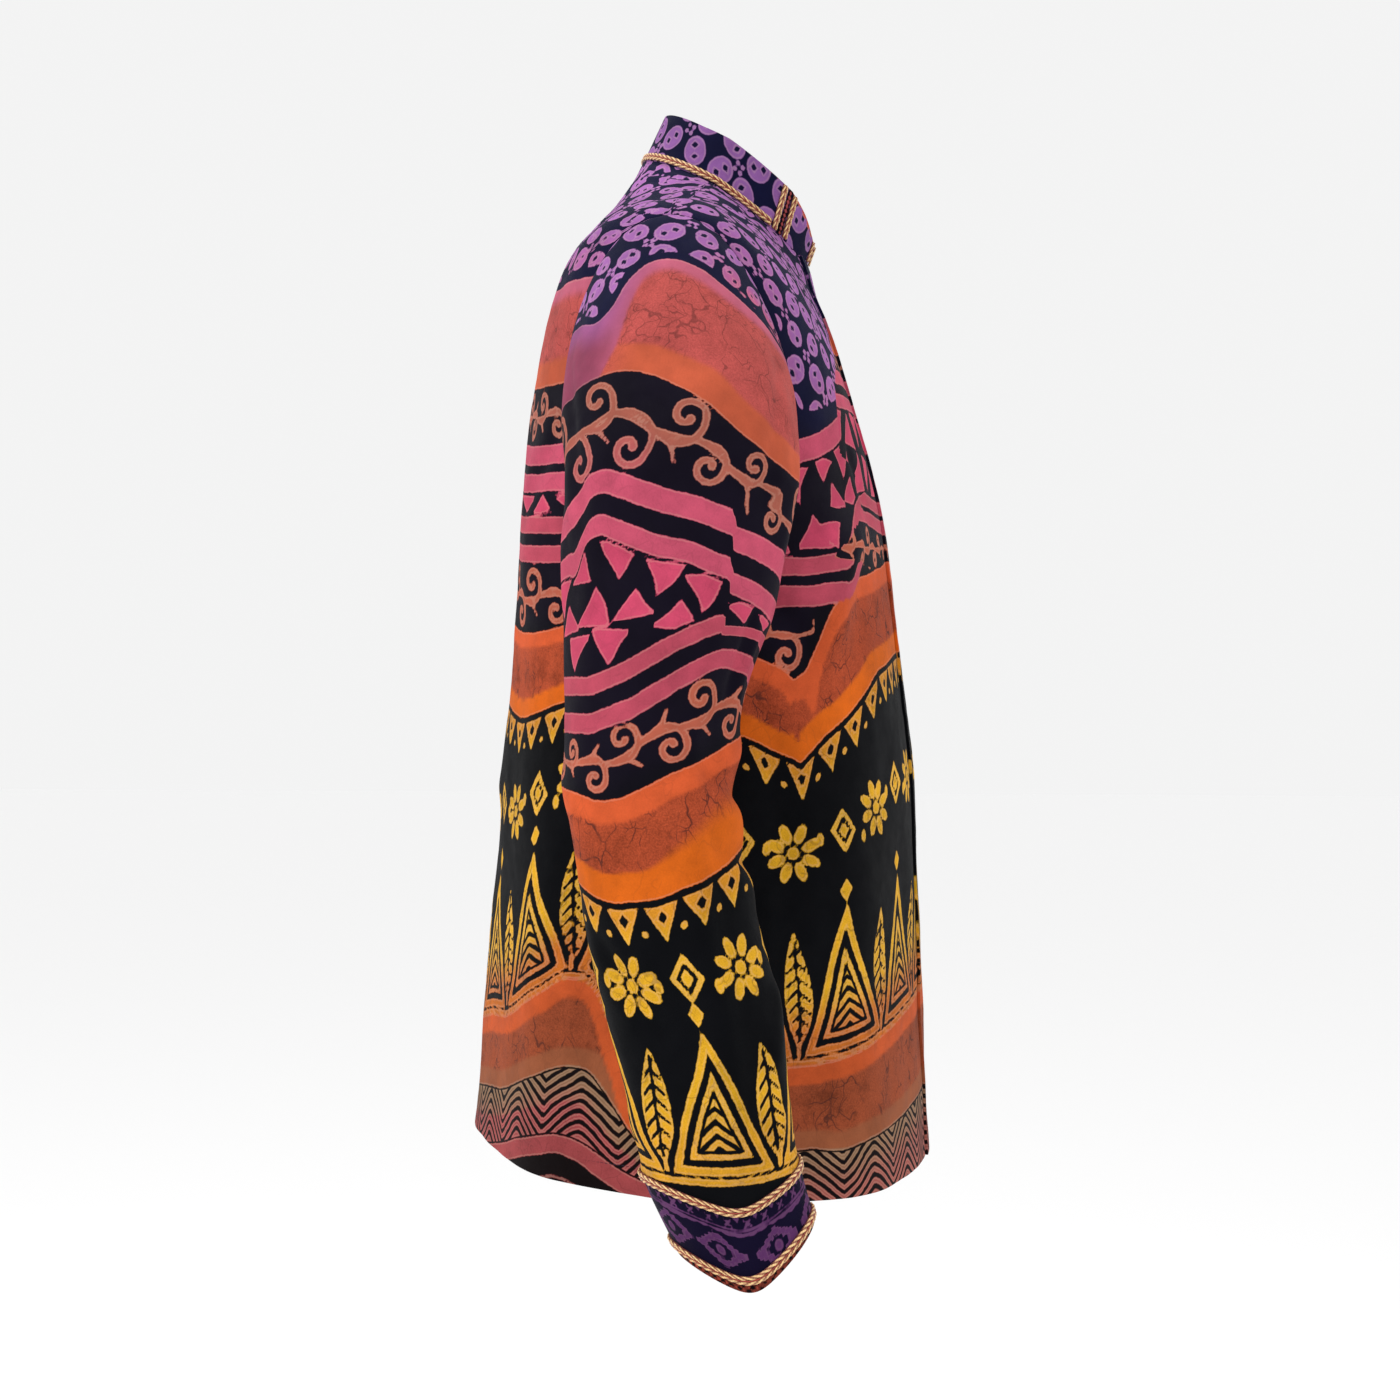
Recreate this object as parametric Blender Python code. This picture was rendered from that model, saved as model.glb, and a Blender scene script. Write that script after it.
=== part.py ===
"""A long-sleeved batik shirt with a stand collar, in the hollow form that it has when it is worn.

Metres, +Z up. The wearer faces -Y, so the wearer's right is at -X. The origin is in the middle of the
neck, at the height where the shoulder seams meet the collar.

Every cloth piece is a wall. Its outer face is read from one of two forms, the torso or a sleeve, and its
inner face is the same points moved in by the cloth's thickness. Trims are made from the same points moved out.
"""

import math

import bpy
import numpy as np

# Cloth, seams and trims.
WALL = 0.0016
SEAM_GAP = 0.0003
TRIM_THICK = 0.0012
TRIM_LIFT = 0.0004
BRAID_WIDTH = 0.0055

# The left front laps over the right one.
LAP_OUT = 0.026
LAP_UNDER = 0.018
LAP_LIFT = 0.0022
LAP_FLAT = 0.004
LAP_BLEND = 0.050

# The armhole reaches this far round the torso form from the side seam, in degrees.
ARMHOLE_FRONT = 35.0
ARMHOLE_BACK = 34.0

# Rows and columns of the panels.
ROWS_BELOW_ARMHOLE = 11
ROWS_AT_ARMHOLE = 14
ROWS_AT_SHOULDER = 8
FRONT_COLUMNS = 12
BACK_COLUMNS = 20
SLEEVE_CAP_ROWS = 7
SLEEVE_ROWS = 14
CUFF_ROWS = 3
COLLAR_ROWS = 2
COLLAR_STEP = 6.5

# Each row is one ring round the torso form, from the hem to the neck. The side, front and back are points
# of that ring; squareness is 2 for an ellipse and more for a fuller ring; tilt is 2 where the ring
# crosses the shoulder as a ridge and 1 where it lies in one slanting plane.
TORSO_COLUMNS = (
    "half_width", "side_y", "side_z", "front_y", "front_z", "back_y", "back_z", "squareness", "tilt",
)
TORSO = {
    "hem": (0.212, 0.000, -0.7155, -0.1740, -0.727, 0.1640, -0.7025, 2.10, 1.0),
    "hip": (0.209, 0.000, -0.600, -0.1680, -0.603, 0.1555, -0.600, 2.15, 2.0),
    "waist": (0.204, 0.000, -0.450, -0.1630, -0.452, 0.1470, -0.450, 2.30, 2.0),
    "chest": (0.202, 0.000, -0.335, -0.1510, -0.338, 0.1375, -0.335, 2.35, 2.0),
    "armpit": (0.205, -0.003, -0.240, -0.1415, -0.262, 0.1295, -0.245, 2.35, 2.0),
    "armhole": (0.2165, -0.004, -0.152, -0.1305, -0.212, 0.1215, -0.172, 2.30, 2.0),
    "shoulder_tip": (0.222, -0.005, -0.066, -0.1170, -0.164, 0.1040, -0.098, 2.15, 2.0),
    "shoulder": (0.150, -0.009, -0.038, -0.1015, -0.112, 0.0840, -0.040, 2.10, 1.8),
    "near_neck": (0.108, -0.014, -0.020, -0.0895, -0.080, 0.0640, -0.007, 2.05, 1.4),
    "neck": (0.072, -0.019, -0.006, -0.0820, -0.052, 0.0440, 0.028, 2.00, 1.0),
}
HEM, ARMPIT, SHOULDER_TIP, NECK = 0.0, 4.0, 6.0, 9.0

# Folds of the body. Angles are round the torso in degrees, from the front centre, with the wearer's right
# below zero. A fold runs from its top to its foot, in rings; its steep side falls off over steep_width
# toward the front centre for a sign of +1, and its other side over soft_width.
FOLD_COLUMNS = (
    "top_ring", "foot_ring", "top_angle", "foot_angle", "height", "soft_width", "steep_width", "sign",
)
FOLDS = {
    "drag_right": (4.2, 2.5, -33.0, -57.0, 0.013, 17.0, 7.0, 1),
    "drag_left": (4.0, 2.3, 36.0, 55.0, 0.010, 16.0, 8.0, -1),
    "blade_right": (4.7, 2.9, -140.0, -136.0, 0.006, 11.0, 7.0, -1),
    "blade_left": (4.6, 2.7, 143.0, 138.0, 0.005, 12.0, 8.0, 1),
    "hang_right_front": (2.6, -1.5, -44.0, -47.0, 0.008, 13.0, 11.0, 1),
    "hang_right_side": (2.3, -1.5, -82.0, -84.0, 0.007, 12.0, 10.0, -1),
    "hang_right_back": (2.5, -1.0, -126.0, -122.0, 0.007, 13.0, 11.0, -1),
    "hang_back": (2.0, -1.5, -166.0, -164.0, 0.006, 12.0, 10.0, 1),
    "hang_left_back": (2.4, -1.5, 138.0, 133.0, 0.009, 13.0, 10.0, 1),
    "hang_left_side": (2.2, -1.5, 92.0, 95.0, 0.007, 12.0, 10.0, -1),
    "hang_left_front": (2.5, -1.5, 40.0, 44.0, 0.008, 12.0, 11.0, -1),
}

# Each row is one ring round the wearer's left sleeve, from the upper arm to the end of the cuff. Out is
# away from the body; rise lifts the outer side over the inner one, and pitch the front over the back;
# a pressed ridge runs down the outer front at ridge_angle, and pulls the ring down there by drop.
SLEEVE_COLUMNS = (
    "out", "y", "z", "half_front", "half_out", "rise", "pitch", "ridge", "ridge_angle", "drop",
)
SLEEVE = {
    "upper_arm": (0.2665, -0.0148, -0.2620, 0.0730, 0.0505, 0.028, 0.000, 0.000, 38.0, 0.0000),
    "biceps": (0.2710, -0.0105, -0.3250, 0.0655, 0.0500, 0.018, 0.000, 0.002, 36.0, 0.0000),
    "above_elbow": (0.2760, -0.0015, -0.3850, 0.0550, 0.0490, 0.010, 0.001, 0.004, 33.0, 0.0020),
    "elbow": (0.2820, 0.0017, -0.4450, 0.0515, 0.0475, 0.006, 0.002, 0.005, 30.0, 0.0040),
    "forearm": (0.2885, -0.0098, -0.5130, 0.0525, 0.0450, 0.003, 0.003, 0.006, 27.0, 0.0080),
    "lower_forearm": (0.2940, -0.0270, -0.5800, 0.0535, 0.0410, 0.001, 0.004, 0.006, 24.0, 0.0120),
    "above_cuff": (0.2980, -0.0380, -0.6330, 0.0500, 0.0375, 0.000, 0.004, 0.004, 20.5, 0.0150),
    "cuff_seam": (0.3000, -0.0443, -0.6715, 0.0485, 0.0360, 0.000, 0.004, 0.003, 17.0, 0.0185),
    "cuff_end": (0.3020, -0.0600, -0.7115, 0.0420, 0.0345, 0.000, 0.010, 0.002, 11.0, 0.0260),
}
SLEEVE_SQUARENESS = 2.1
RIDGE_WIDTH = 13.0
DROP_SOFTNESS = 0.30
CUFF_SEAM, CUFF_END = 8.0, 9.0

# Folds across a sleeve: where each lies along and round it, and how far it stands out.
SLEEVE_FOLD_COLUMNS = ("station", "angle", "height", "length", "width", "slant")
SLEEVE_FOLDS = {
    "elbow_bend": (4.15, 70.0, 0.0050, 0.22, 55.0, 0.30),
    "above_bend": (3.55, 95.0, 0.0035, 0.20, 50.0, -0.25),
    "below_bend": (4.75, 80.0, 0.0030, 0.22, 45.0, 0.35),
    "over_cuff": (7.25, 300.0, 0.0030, 0.30, 60.0, 0.25),
    "back_hang": (2.40, 265.0, 0.0040, 1.60, 24.0, 0.00),
    "cap_crease": (1.70, 318.0, 0.0025, 1.50, 12.0, 0.00),
}

# Where the cuff's pieces start and end, as shares of the way from the cuff seam to the cuff's end.
CUFF_CLOTH = (0.006, 0.865)
CUFF_EDGE = (0.872, 1.000)
CUFF_TOP_BRAID = (-0.055, 0.052)
CUFF_LOW_BRAID = (0.795, 0.905)

# The collar: its height round the neck, and the way it leans. Angles as on the torso.
COLLAR_COLUMNS = ("angle", "height", "lean_front", "lean_in")
COLLAR = (
    (0.0, 0.0175, 0.36, 0.00),
    (14.0, 0.0215, 0.34, 0.02),
    (28.0, 0.0290, 0.30, 0.04),
    (43.0, 0.0350, 0.28, 0.05),
    (70.0, 0.0360, 0.28, 0.06),
    (110.0, 0.0360, 0.36, 0.06),
    (150.0, 0.0380, 0.46, 0.03),
    (180.0, 0.0390, 0.50, 0.00),
)
COLLAR_END = 3.5
COLLAR_BRAID_ANGLES = (40.0, 49.0)
COLLAR_END_BRAID_ANGLE = COLLAR_END + 2.3
UPRIGHT_BRAID_WIDTH = 0.0050
END_BRAID_WIDTH = 0.0045
COLLAR_STRIP_WIDTH = 0.0040
SEAM_BRAID_CLEAR = 3.2
SEAM_BRAID_FOOT = 0.0008
UPRIGHT_FOOT = 0.0012
UPRIGHT_BELOW_TOP = 0.0006

# Colours, in linear light.
NAVY = (0.013, 0.013, 0.050)
PLUM = (0.060, 0.015, 0.060)
BRICK = (0.380, 0.075, 0.045)
ORANGE = (0.560, 0.110, 0.030)
GOLD = (0.800, 0.520, 0.170)
MAROON = (0.180, 0.040, 0.035)


def clear_scene():
    for found in list(bpy.data.objects):
        bpy.data.objects.remove(found, do_unlink=True)


def cloth_material(name, colour, roughness):
    made = bpy.data.materials.new(name)
    made.use_nodes = True
    shader = made.node_tree.nodes["Principled BSDF"]
    shader.inputs["Base Color"].default_value = (*colour, 1.0)
    shader.inputs["Roughness"].default_value = roughness
    shader.inputs["Metallic"].default_value = 0.0
    made.diffuse_color = (*colour, 1.0)
    return made


def smooth_read(rows, columns, column, place):
    """One column of a table at any place between its rows, by a cubic curve that passes through each row."""
    values = np.array([row[columns.index(column)] for row in rows])
    values = np.concatenate([[2 * values[0] - values[1]], values, [2 * values[-1] - values[-2]]])
    last = len(rows) - 1
    inside = np.clip(place, 0.0, last)
    start = np.minimum(inside.astype(int), last - 1)
    t = inside - start
    before, here, after, beyond = (values[start + k] for k in range(4))
    leave, arrive = (after - before) / 2, (beyond - here) / 2
    bend = (
        here * (2 * t**3 - 3 * t**2 + 1)
        + leave * (t**3 - 2 * t**2 + t)
        + after * (3 * t**2 - 2 * t**3)
        + arrive * (t**3 - t**2)
    )
    return bend + (place - inside) * np.where(place < 0, values[1] - values[0], values[-1] - values[-2])


def smooth_step(low, high, value):
    share = np.clip((value - low) / (high - low), 0.0, 1.0)
    return share * share * (3 - 2 * share)


def unit(vectors):
    return vectors / np.linalg.norm(vectors, axis=-1, keepdims=True)


def ring_reach(cosine, sine, squareness):
    """How far a ring reaches in one direction, as a share of an ellipse's reach on its axes."""
    return (np.abs(cosine) ** squareness + np.abs(sine) ** squareness) ** (-1 / squareness)


def fold_height(ring, angle):
    """How far the body's folds stand out at a place on the torso."""
    total = np.zeros(np.broadcast(ring, angle).shape)
    for row in FOLDS.values():
        fold = dict(zip(FOLD_COLUMNS, row))
        along = (fold["top_ring"] - ring) / (fold["top_ring"] - fold["foot_ring"])
        centre = fold["top_angle"] + (fold["foot_angle"] - fold["top_angle"]) * along
        away = (angle - centre + 180.0) % 360.0 - 180.0
        width = np.where(away * fold["sign"] > 0, fold["steep_width"], fold["soft_width"])
        fade = smooth_step(0.0, 0.35, along) * smooth_step(1.0, 0.65, along)
        total = total + fold["height"] * fade * np.exp(-((away / width) ** 2))
    return total


def torso_point(ring, angle):
    """A point of the torso form. Angle is in degrees from the front centre, wearer's right below zero."""
    ring, angle = np.broadcast_arrays(np.asarray(ring, float), np.asarray(angle, float))
    size = {name: smooth_read(tuple(TORSO.values()), TORSO_COLUMNS, name, ring) for name in TORSO_COLUMNS}
    turn = np.radians(angle)
    cosine, sine = np.cos(turn), np.sin(turn)
    front = cosine >= 0
    reach = ring_reach(cosine, sine, size["squareness"])
    to_y = np.where(front, size["front_y"], size["back_y"]) - size["side_y"]
    to_z = np.where(front, size["front_z"], size["back_z"]) - size["side_z"]
    fold = fold_height(ring, angle)
    x = size["half_width"] * reach * sine + fold * sine
    y = size["side_y"] + to_y * reach * np.abs(cosine) - fold * cosine
    z = size["side_z"] + to_z * np.abs(cosine) ** size["tilt"]
    return np.stack([x, y, z], axis=-1)


def torso_normal(ring, angle):
    ring, angle = np.broadcast_arrays(np.asarray(ring, float), np.asarray(angle, float))
    up = torso_point(np.minimum(ring + 0.01, NECK), angle) - torso_point(np.maximum(ring - 0.01, HEM), angle)
    round_it = torso_point(ring, angle + 0.3) - torso_point(ring, angle - 0.3)
    return unit(np.cross(round_it, up))


def angle_for(ring, distance):
    """The angle at which the torso form is this far sideways from the front centre."""
    half_width = smooth_read(tuple(TORSO.values()), TORSO_COLUMNS, "half_width", np.asarray(ring, float))
    return np.degrees(np.arcsin(distance / half_width))


def armhole_place(turn):
    """Ring and angle of the left armhole's edge. Turn is 0 at its top, 90 at its front and 180 at its foot."""
    turn = np.radians(turn)
    middle = (ARMPIT + SHOULDER_TIP) / 2
    ring = middle + (SHOULDER_TIP - ARMPIT) / 2 * np.cos(turn)
    bulge = np.where(np.sin(turn) > 0, ARMHOLE_FRONT, ARMHOLE_BACK)
    return ring, 90.0 - bulge * np.sin(turn)


def panel_rows():
    """The rings that the body panels' rows lie on, and the armhole's turn at those beside it."""
    below = np.linspace(HEM, ARMPIT, ROWS_BELOW_ARMHOLE + 1)[:-1]
    turn = np.linspace(180.0, 0.0, ROWS_AT_ARMHOLE + 1)
    beside = armhole_place(turn)[0]
    over = SHOULDER_TIP + (NECK - SHOULDER_TIP) * np.linspace(0.0, 1.0, ROWS_AT_SHOULDER + 1)[1:] ** 1.4
    return np.concatenate([below, beside, over])


def edge_angle(ring, bulge):
    """How far a panel's side edge lies from the side seam's line, for the rings beside the armhole."""
    middle = (ARMPIT + SHOULDER_TIP) / 2
    share = np.clip((ring - middle) / ((SHOULDER_TIP - ARMPIT) / 2), -1.0, 1.0)
    return bulge * np.sqrt(1 - share**2)


def seam_angle(ring):
    """Half a seam's gap at the side, in degrees."""
    round_it = torso_point(ring, 90.5) - torso_point(ring, 89.5)
    return SEAM_GAP / 2 / np.linalg.norm(round_it, axis=-1)


def lap_lift(ring, angle):
    """The left front's rise over the right front, which fades out toward the wearer's left."""
    x = torso_point(ring, angle)[..., 0]
    return LAP_LIFT * smooth_step(LAP_UNDER + LAP_BLEND, LAP_UNDER + LAP_FLAT, x)


def wall_mesh(name, outer, inner, material, closed=False):
    """One closed wall between two grids of points. A closed grid's last column meets its first."""
    rows, columns = outer.shape[:2]
    steps = columns if closed else columns - 1
    faces = []

    def corner(row, column, side):
        return side * rows * columns + row * columns + column % columns

    def quad(a, b, c, d):
        faces.append((a, b, c))
        faces.append((a, c, d))

    for row in range(rows - 1):
        for column in range(steps):
            near = [corner(row, column, 0), corner(row, column + 1, 0)]
            far = [corner(row + 1, column + 1, 0), corner(row + 1, column, 0)]
            quad(*near, *far)
            inside = [index + rows * columns for index in near + far]
            faces.append((inside[2], inside[1], inside[0]))
            faces.append((inside[3], inside[2], inside[0]))
    for column in range(steps):
        quad(corner(0, column + 1, 0), corner(0, column, 0), corner(0, column, 1), corner(0, column + 1, 1))
        last = rows - 1
        quad(
            corner(last, column, 0), corner(last, column + 1, 0),
            corner(last, column + 1, 1), corner(last, column, 1),
        )
    for row in range(0 if closed else rows - 1):
        quad(corner(row, 0, 0), corner(row + 1, 0, 0), corner(row + 1, 0, 1), corner(row, 0, 1))
        last = columns - 1
        quad(
            corner(row + 1, last, 0), corner(row, last, 0),
            corner(row, last, 1), corner(row + 1, last, 1),
        )

    points = np.concatenate([outer.reshape(-1, 3), inner.reshape(-1, 3)])
    a, b, c = points[np.array(faces[0])]
    outward = outer[0, 0] - inner[0, 0]
    if np.dot(np.cross(b - a, c - a), outward) < 0:
        faces = [face[::-1] for face in faces]
    mesh = bpy.data.meshes.new(name)
    mesh.from_pydata(points.tolist(), [], faces)
    mesh.materials.append(material)
    mesh.shade_smooth()
    mesh.set_sharp_from_angle(angle=math.radians(40))
    made = bpy.data.objects.new(name, mesh)
    bpy.context.scene.collection.objects.link(made)
    return made


def body_panel(name, angles, lift, material):
    """A body panel: a ring for each row, and each row's angles from one edge to the other."""
    ring = panel_rows()[:, None] + np.zeros_like(angles)
    normal = torso_normal(ring, angles)
    outer = torso_point(ring, angles) + normal * lift[..., None]
    return wall_mesh(name, outer, outer - normal * WALL, material)


def front_left(material):
    ring = panel_rows()
    share = np.linspace(0.0, 1.0, FRONT_COLUMNS + 1)
    start = -angle_for(ring, LAP_OUT)
    end = 90.0 - edge_angle(ring, ARMHOLE_FRONT) - seam_angle(ring)
    angles = start[:, None] + (end - start)[:, None] * share
    return body_panel("front_left", angles, lap_lift(ring[:, None], angles), material)


def front_right(material):
    ring = panel_rows()
    share = np.linspace(0.0, 1.0, FRONT_COLUMNS + 1)
    start = angle_for(ring, LAP_UNDER)
    end = -(90.0 - edge_angle(ring, ARMHOLE_FRONT) - seam_angle(ring))
    angles = start[:, None] + (end - start)[:, None] * share
    return body_panel("front_right", angles, np.zeros_like(angles), material)


def back(material):
    ring = panel_rows()
    share = np.linspace(-1.0, 1.0, BACK_COLUMNS + 1)
    reach = 90.0 - edge_angle(ring, ARMHOLE_BACK) - seam_angle(ring)
    angles = 180.0 + reach[:, None] * share
    return body_panel("back", angles, np.zeros_like(angles), material)


def ridge_profile(turn, ridge_angle):
    away = (turn - ridge_angle + 180.0) % 360.0 - 180.0
    opposite = (turn - ridge_angle) % 360.0 - 180.0
    return np.exp(-((away / RIDGE_WIDTH) ** 2)) + 0.6 * np.exp(-((opposite / RIDGE_WIDTH) ** 2))


def drop_profile(turn, ridge_angle):
    """1 at the ridge, falling to 0 at the sleeve's two sides as seen from outside, with a rounded tip."""
    away = np.radians(turn - ridge_angle)
    slope = np.sqrt(np.sin(away) ** 2 + DROP_SOFTNESS**2) - DROP_SOFTNESS
    full = math.sqrt(1 + DROP_SOFTNESS**2) - DROP_SOFTNESS
    return np.where(np.cos(away) > 0, 1 - slope / full, 0.0)


def sleeve_fold_height(station, turn, side):
    """Folds of one sleeve. The other sleeve has them a little further along and round."""
    total = np.zeros(np.broadcast(station, turn).shape)
    shift = 0.0 if side < 0 else 0.22
    for row in SLEEVE_FOLDS.values():
        fold = dict(zip(SLEEVE_FOLD_COLUMNS, row))
        away = (turn - fold["angle"] - 20.0 * shift + 180.0) % 360.0 - 180.0
        along = station - fold["station"] - shift - fold["slant"] * away / 60.0
        shape = np.exp(-((along / fold["length"]) ** 2)) * np.exp(-((away / fold["width"]) ** 2))
        total = total + fold["height"] * shape
    return total * smooth_step(7.9, 7.3, station) * smooth_step(1.0, 1.5, station)


def sleeve_ring(station, turn, side):
    """A point of a sleeve's tube, on the left. Turn is 0 outside, 90 at the front and 180 inside."""
    rows = tuple(SLEEVE.values())
    size = {name: smooth_read(rows, SLEEVE_COLUMNS, name, station - 1.0) for name in SLEEVE_COLUMNS}
    cosine, sine = np.cos(np.radians(turn)), np.sin(np.radians(turn))
    reach = ring_reach(cosine, sine, SLEEVE_SQUARENESS)
    proud = size["ridge"] * ridge_profile(turn, size["ridge_angle"]) + sleeve_fold_height(station, turn, side)
    x = size["out"] + (size["half_out"] * reach + proud) * cosine
    y = size["y"] - (size["half_front"] * reach + proud) * sine
    z = size["z"] + size["rise"] * cosine + size["pitch"] * sine
    z = z - size["drop"] * drop_profile(turn, size["ridge_angle"])
    return np.stack([x, y, z], axis=-1)


def sleeve_point(station, turn, side):
    """A point of the sleeve form: from the armhole at station 0, by a smooth bend, to the tube at station 1."""
    station, turn = np.broadcast_arrays(np.asarray(station, float), np.asarray(turn, float))
    cosine, sine = np.cos(np.radians(turn)), np.sin(np.radians(turn))
    tube = sleeve_ring(np.maximum(station, 1.0), turn, side)
    start = torso_point(*armhole_place(turn))
    out = 0.052 + 0.024 * cosine
    leave = np.stack([out, -0.016 * sine, -0.018 * (1 + cosine)], axis=-1)
    ahead = sleeve_ring(np.full(turn.shape, 1.05), turn, side) - sleeve_ring(np.ones(turn.shape), turn, side)
    arrive = unit(ahead) * (0.085 + 0.035 * cosine)[..., None]
    t = np.clip(station, 0.0, 1.0)[..., None]
    bend = (
        start * (2 * t**3 - 3 * t**2 + 1)
        + leave * (t**3 - 2 * t**2 + t)
        + sleeve_ring(np.ones(turn.shape), turn, side) * (3 * t**2 - 2 * t**3)
        + arrive * (t**3 - t**2)
    )
    return np.where(station[..., None] < 1.0, bend, tube)


def sleeve_normal(station, turn, side):
    station, turn = np.broadcast_arrays(np.asarray(station, float), np.asarray(turn, float))
    before = np.maximum(station - 0.01, 0.0)
    down = sleeve_point(station + 0.01, turn, side) - sleeve_point(before, turn, side)
    round_it = sleeve_point(station, turn + 0.5, side) - sleeve_point(station, turn - 0.5, side)
    return unit(np.cross(round_it, down))


def sleeve_turns():
    return np.arange(2 * ROWS_AT_ARMHOLE) * 180.0 / ROWS_AT_ARMHOLE


def to_side(points, side):
    return points * np.array([side, 1.0, 1.0])


def sleeve(side_name, side, material):
    cap = np.linspace(0.0, 1.0, SLEEVE_CAP_ROWS + 1) ** 1.15
    along = np.linspace(1.0, CUFF_SEAM, SLEEVE_ROWS + 1)[1:]
    station = np.concatenate([cap, along])[:, None]
    turn = sleeve_turns()[None, :]
    outer = sleeve_point(station, turn, side)
    normal = sleeve_normal(station, turn, side)

    # At the armhole the wall's edge is mitred to the body's wall and stands off it by the seam's gap.
    ring, angle = armhole_place(turn[0])
    body_normal = torso_normal(ring, angle)
    along_edge = torso_point(*armhole_place(turn[0] + 1.0)) - torso_point(*armhole_place(turn[0] - 1.0))
    across = unit(np.cross(along_edge, body_normal))
    across = across * np.sign(across[:, :1] + 1e-9)
    across[:, 0] = np.abs(across[:, 0])
    foot = np.cos(np.radians(turn[0])) < -0.5
    across[foot] = unit(torso_point(ring[foot] + 0.02, angle[foot]) - torso_point(ring[foot], angle[foot]))
    mitre = unit(body_normal + normal[0])
    stretch = 1.0 / np.maximum((mitre * normal[0]).sum(axis=-1, keepdims=True), 0.7)
    inward = normal.copy()
    inward[0] = mitre * stretch
    outer[0] = outer[0] + across * SEAM_GAP
    inner = outer - inward * WALL
    return wall_mesh("sleeve_" + side_name, to_side(outer, side), to_side(inner, side), material, closed=True)


def cuff_band(name, side, shares, steps, lift, thick, material):
    """A band round the sleeve form near its end, between two shares of the cuff's height."""
    station = CUFF_SEAM + (CUFF_END - CUFF_SEAM) * np.linspace(*shares, steps + 1)
    turn = sleeve_turns()[None, :]
    base = sleeve_point(station[:, None], turn, side)
    normal = sleeve_normal(station[:, None], turn, side)
    outer = to_side(base + normal * (lift + thick), side)
    inner = to_side(base + normal * lift, side)
    return wall_mesh(name, outer, inner, material, closed=True)


def collar_read(column, angle):
    """The collar's table at any angle, the same on both sides."""
    angles = [row[0] for row in COLLAR]
    values = [row[COLLAR_COLUMNS.index(column)] for row in COLLAR]
    return np.interp(np.abs(angle), angles, values)


def collar_point(angle, height):
    """A point of the collar's outer face, this far up it from the neck seam."""
    angle, height = np.broadcast_arrays(np.asarray(angle, float), np.asarray(height, float))
    signed = (angle + 180.0) % 360.0 - 180.0
    base = torso_point(np.full(angle.shape, NECK), angle)
    lean_in = -np.sin(np.radians(angle)) * collar_read("lean_in", signed)
    lean = np.stack([lean_in, -collar_read("lean_front", signed), np.ones(angle.shape)], axis=-1)
    return base + unit(lean) * height[..., None]


def collar_normal(angle, height):
    round_it = collar_point(angle + 0.5, height) - collar_point(angle - 0.5, height)
    up = collar_point(angle, height + 0.002) - collar_point(angle, height)
    return unit(np.cross(round_it, up))


def collar_top(angle):
    signed = (np.asarray(angle, float) + 180.0) % 360.0 - 180.0
    return collar_read("height", signed)


def collar_band(name, angles, low, high, steps, lift, thick, material):
    """A piece of the collar's face, between two heights at each angle."""
    share = np.linspace(0.0, 1.0, steps + 1)[:, None]
    height = low[None, :] + (high - low)[None, :] * share
    angle = angles[None, :] + np.zeros_like(height)
    base = collar_point(angle, height)
    normal = collar_normal(angle, height)
    return wall_mesh(name, base + normal * (lift + thick), base + normal * lift, material)


def collar(material):
    count = round((360.0 - 2 * COLLAR_END) / COLLAR_STEP)
    angles = np.linspace(COLLAR_END, 360.0 - COLLAR_END, count + 1)
    low = np.full(angles.shape, SEAM_GAP)
    return collar_band("collar", angles, low, collar_top(angles), COLLAR_ROWS, -WALL, WALL, material)


def collar_seam_braid(material):
    """The braid along the neck seam, from one pair of upright braids round the back to the other."""
    start = COLLAR_BRAID_ANGLES[1] + SEAM_BRAID_CLEAR
    count = round((360.0 - 2 * start) / COLLAR_STEP)
    angles = np.linspace(start, 360.0 - start, count + 1)
    low = np.full(angles.shape, SEAM_BRAID_FOOT)
    high = low + BRAID_WIDTH
    return collar_band("collar_seam_braid", angles, low, high, 1, TRIM_LIFT, TRIM_THICK, material)


def upright_band(name, side, centre, width, foot, material):
    """An upright strip on the collar, as wide as stated, at an angle from the front."""
    radius = np.linalg.norm(collar_point(centre + 1.0, 0.01) - collar_point(centre - 1.0, 0.01)) / 2
    half = width / 2 / radius
    angles = side * np.linspace(centre - half, centre + half, 3)
    low = np.full(3, foot)
    high = collar_top(angles) - UPRIGHT_BELOW_TOP
    return collar_band(name, angles, low, high, 3, TRIM_LIFT, TRIM_THICK, material)


def make_collar_trims(gold, maroon):
    collar_seam_braid(gold)
    front_angle, rear_angle = COLLAR_BRAID_ANGLES
    between = (front_angle + rear_angle) / 2
    end, end_foot = COLLAR_END_BRAID_ANGLE, UPRIGHT_FOOT + LAP_LIFT
    for side_name, side in (("right", -1), ("left", 1)):
        name = "collar_braid_front_" + side_name
        upright_band(name, side, front_angle, UPRIGHT_BRAID_WIDTH, UPRIGHT_FOOT, gold)
        name = "collar_braid_rear_" + side_name
        upright_band(name, side, rear_angle, UPRIGHT_BRAID_WIDTH, UPRIGHT_FOOT, gold)
        upright_band("collar_strip_" + side_name, side, between, COLLAR_STRIP_WIDTH, UPRIGHT_FOOT, maroon)
        upright_band("collar_end_braid_" + side_name, side, end, END_BRAID_WIDTH, end_foot, gold)


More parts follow.
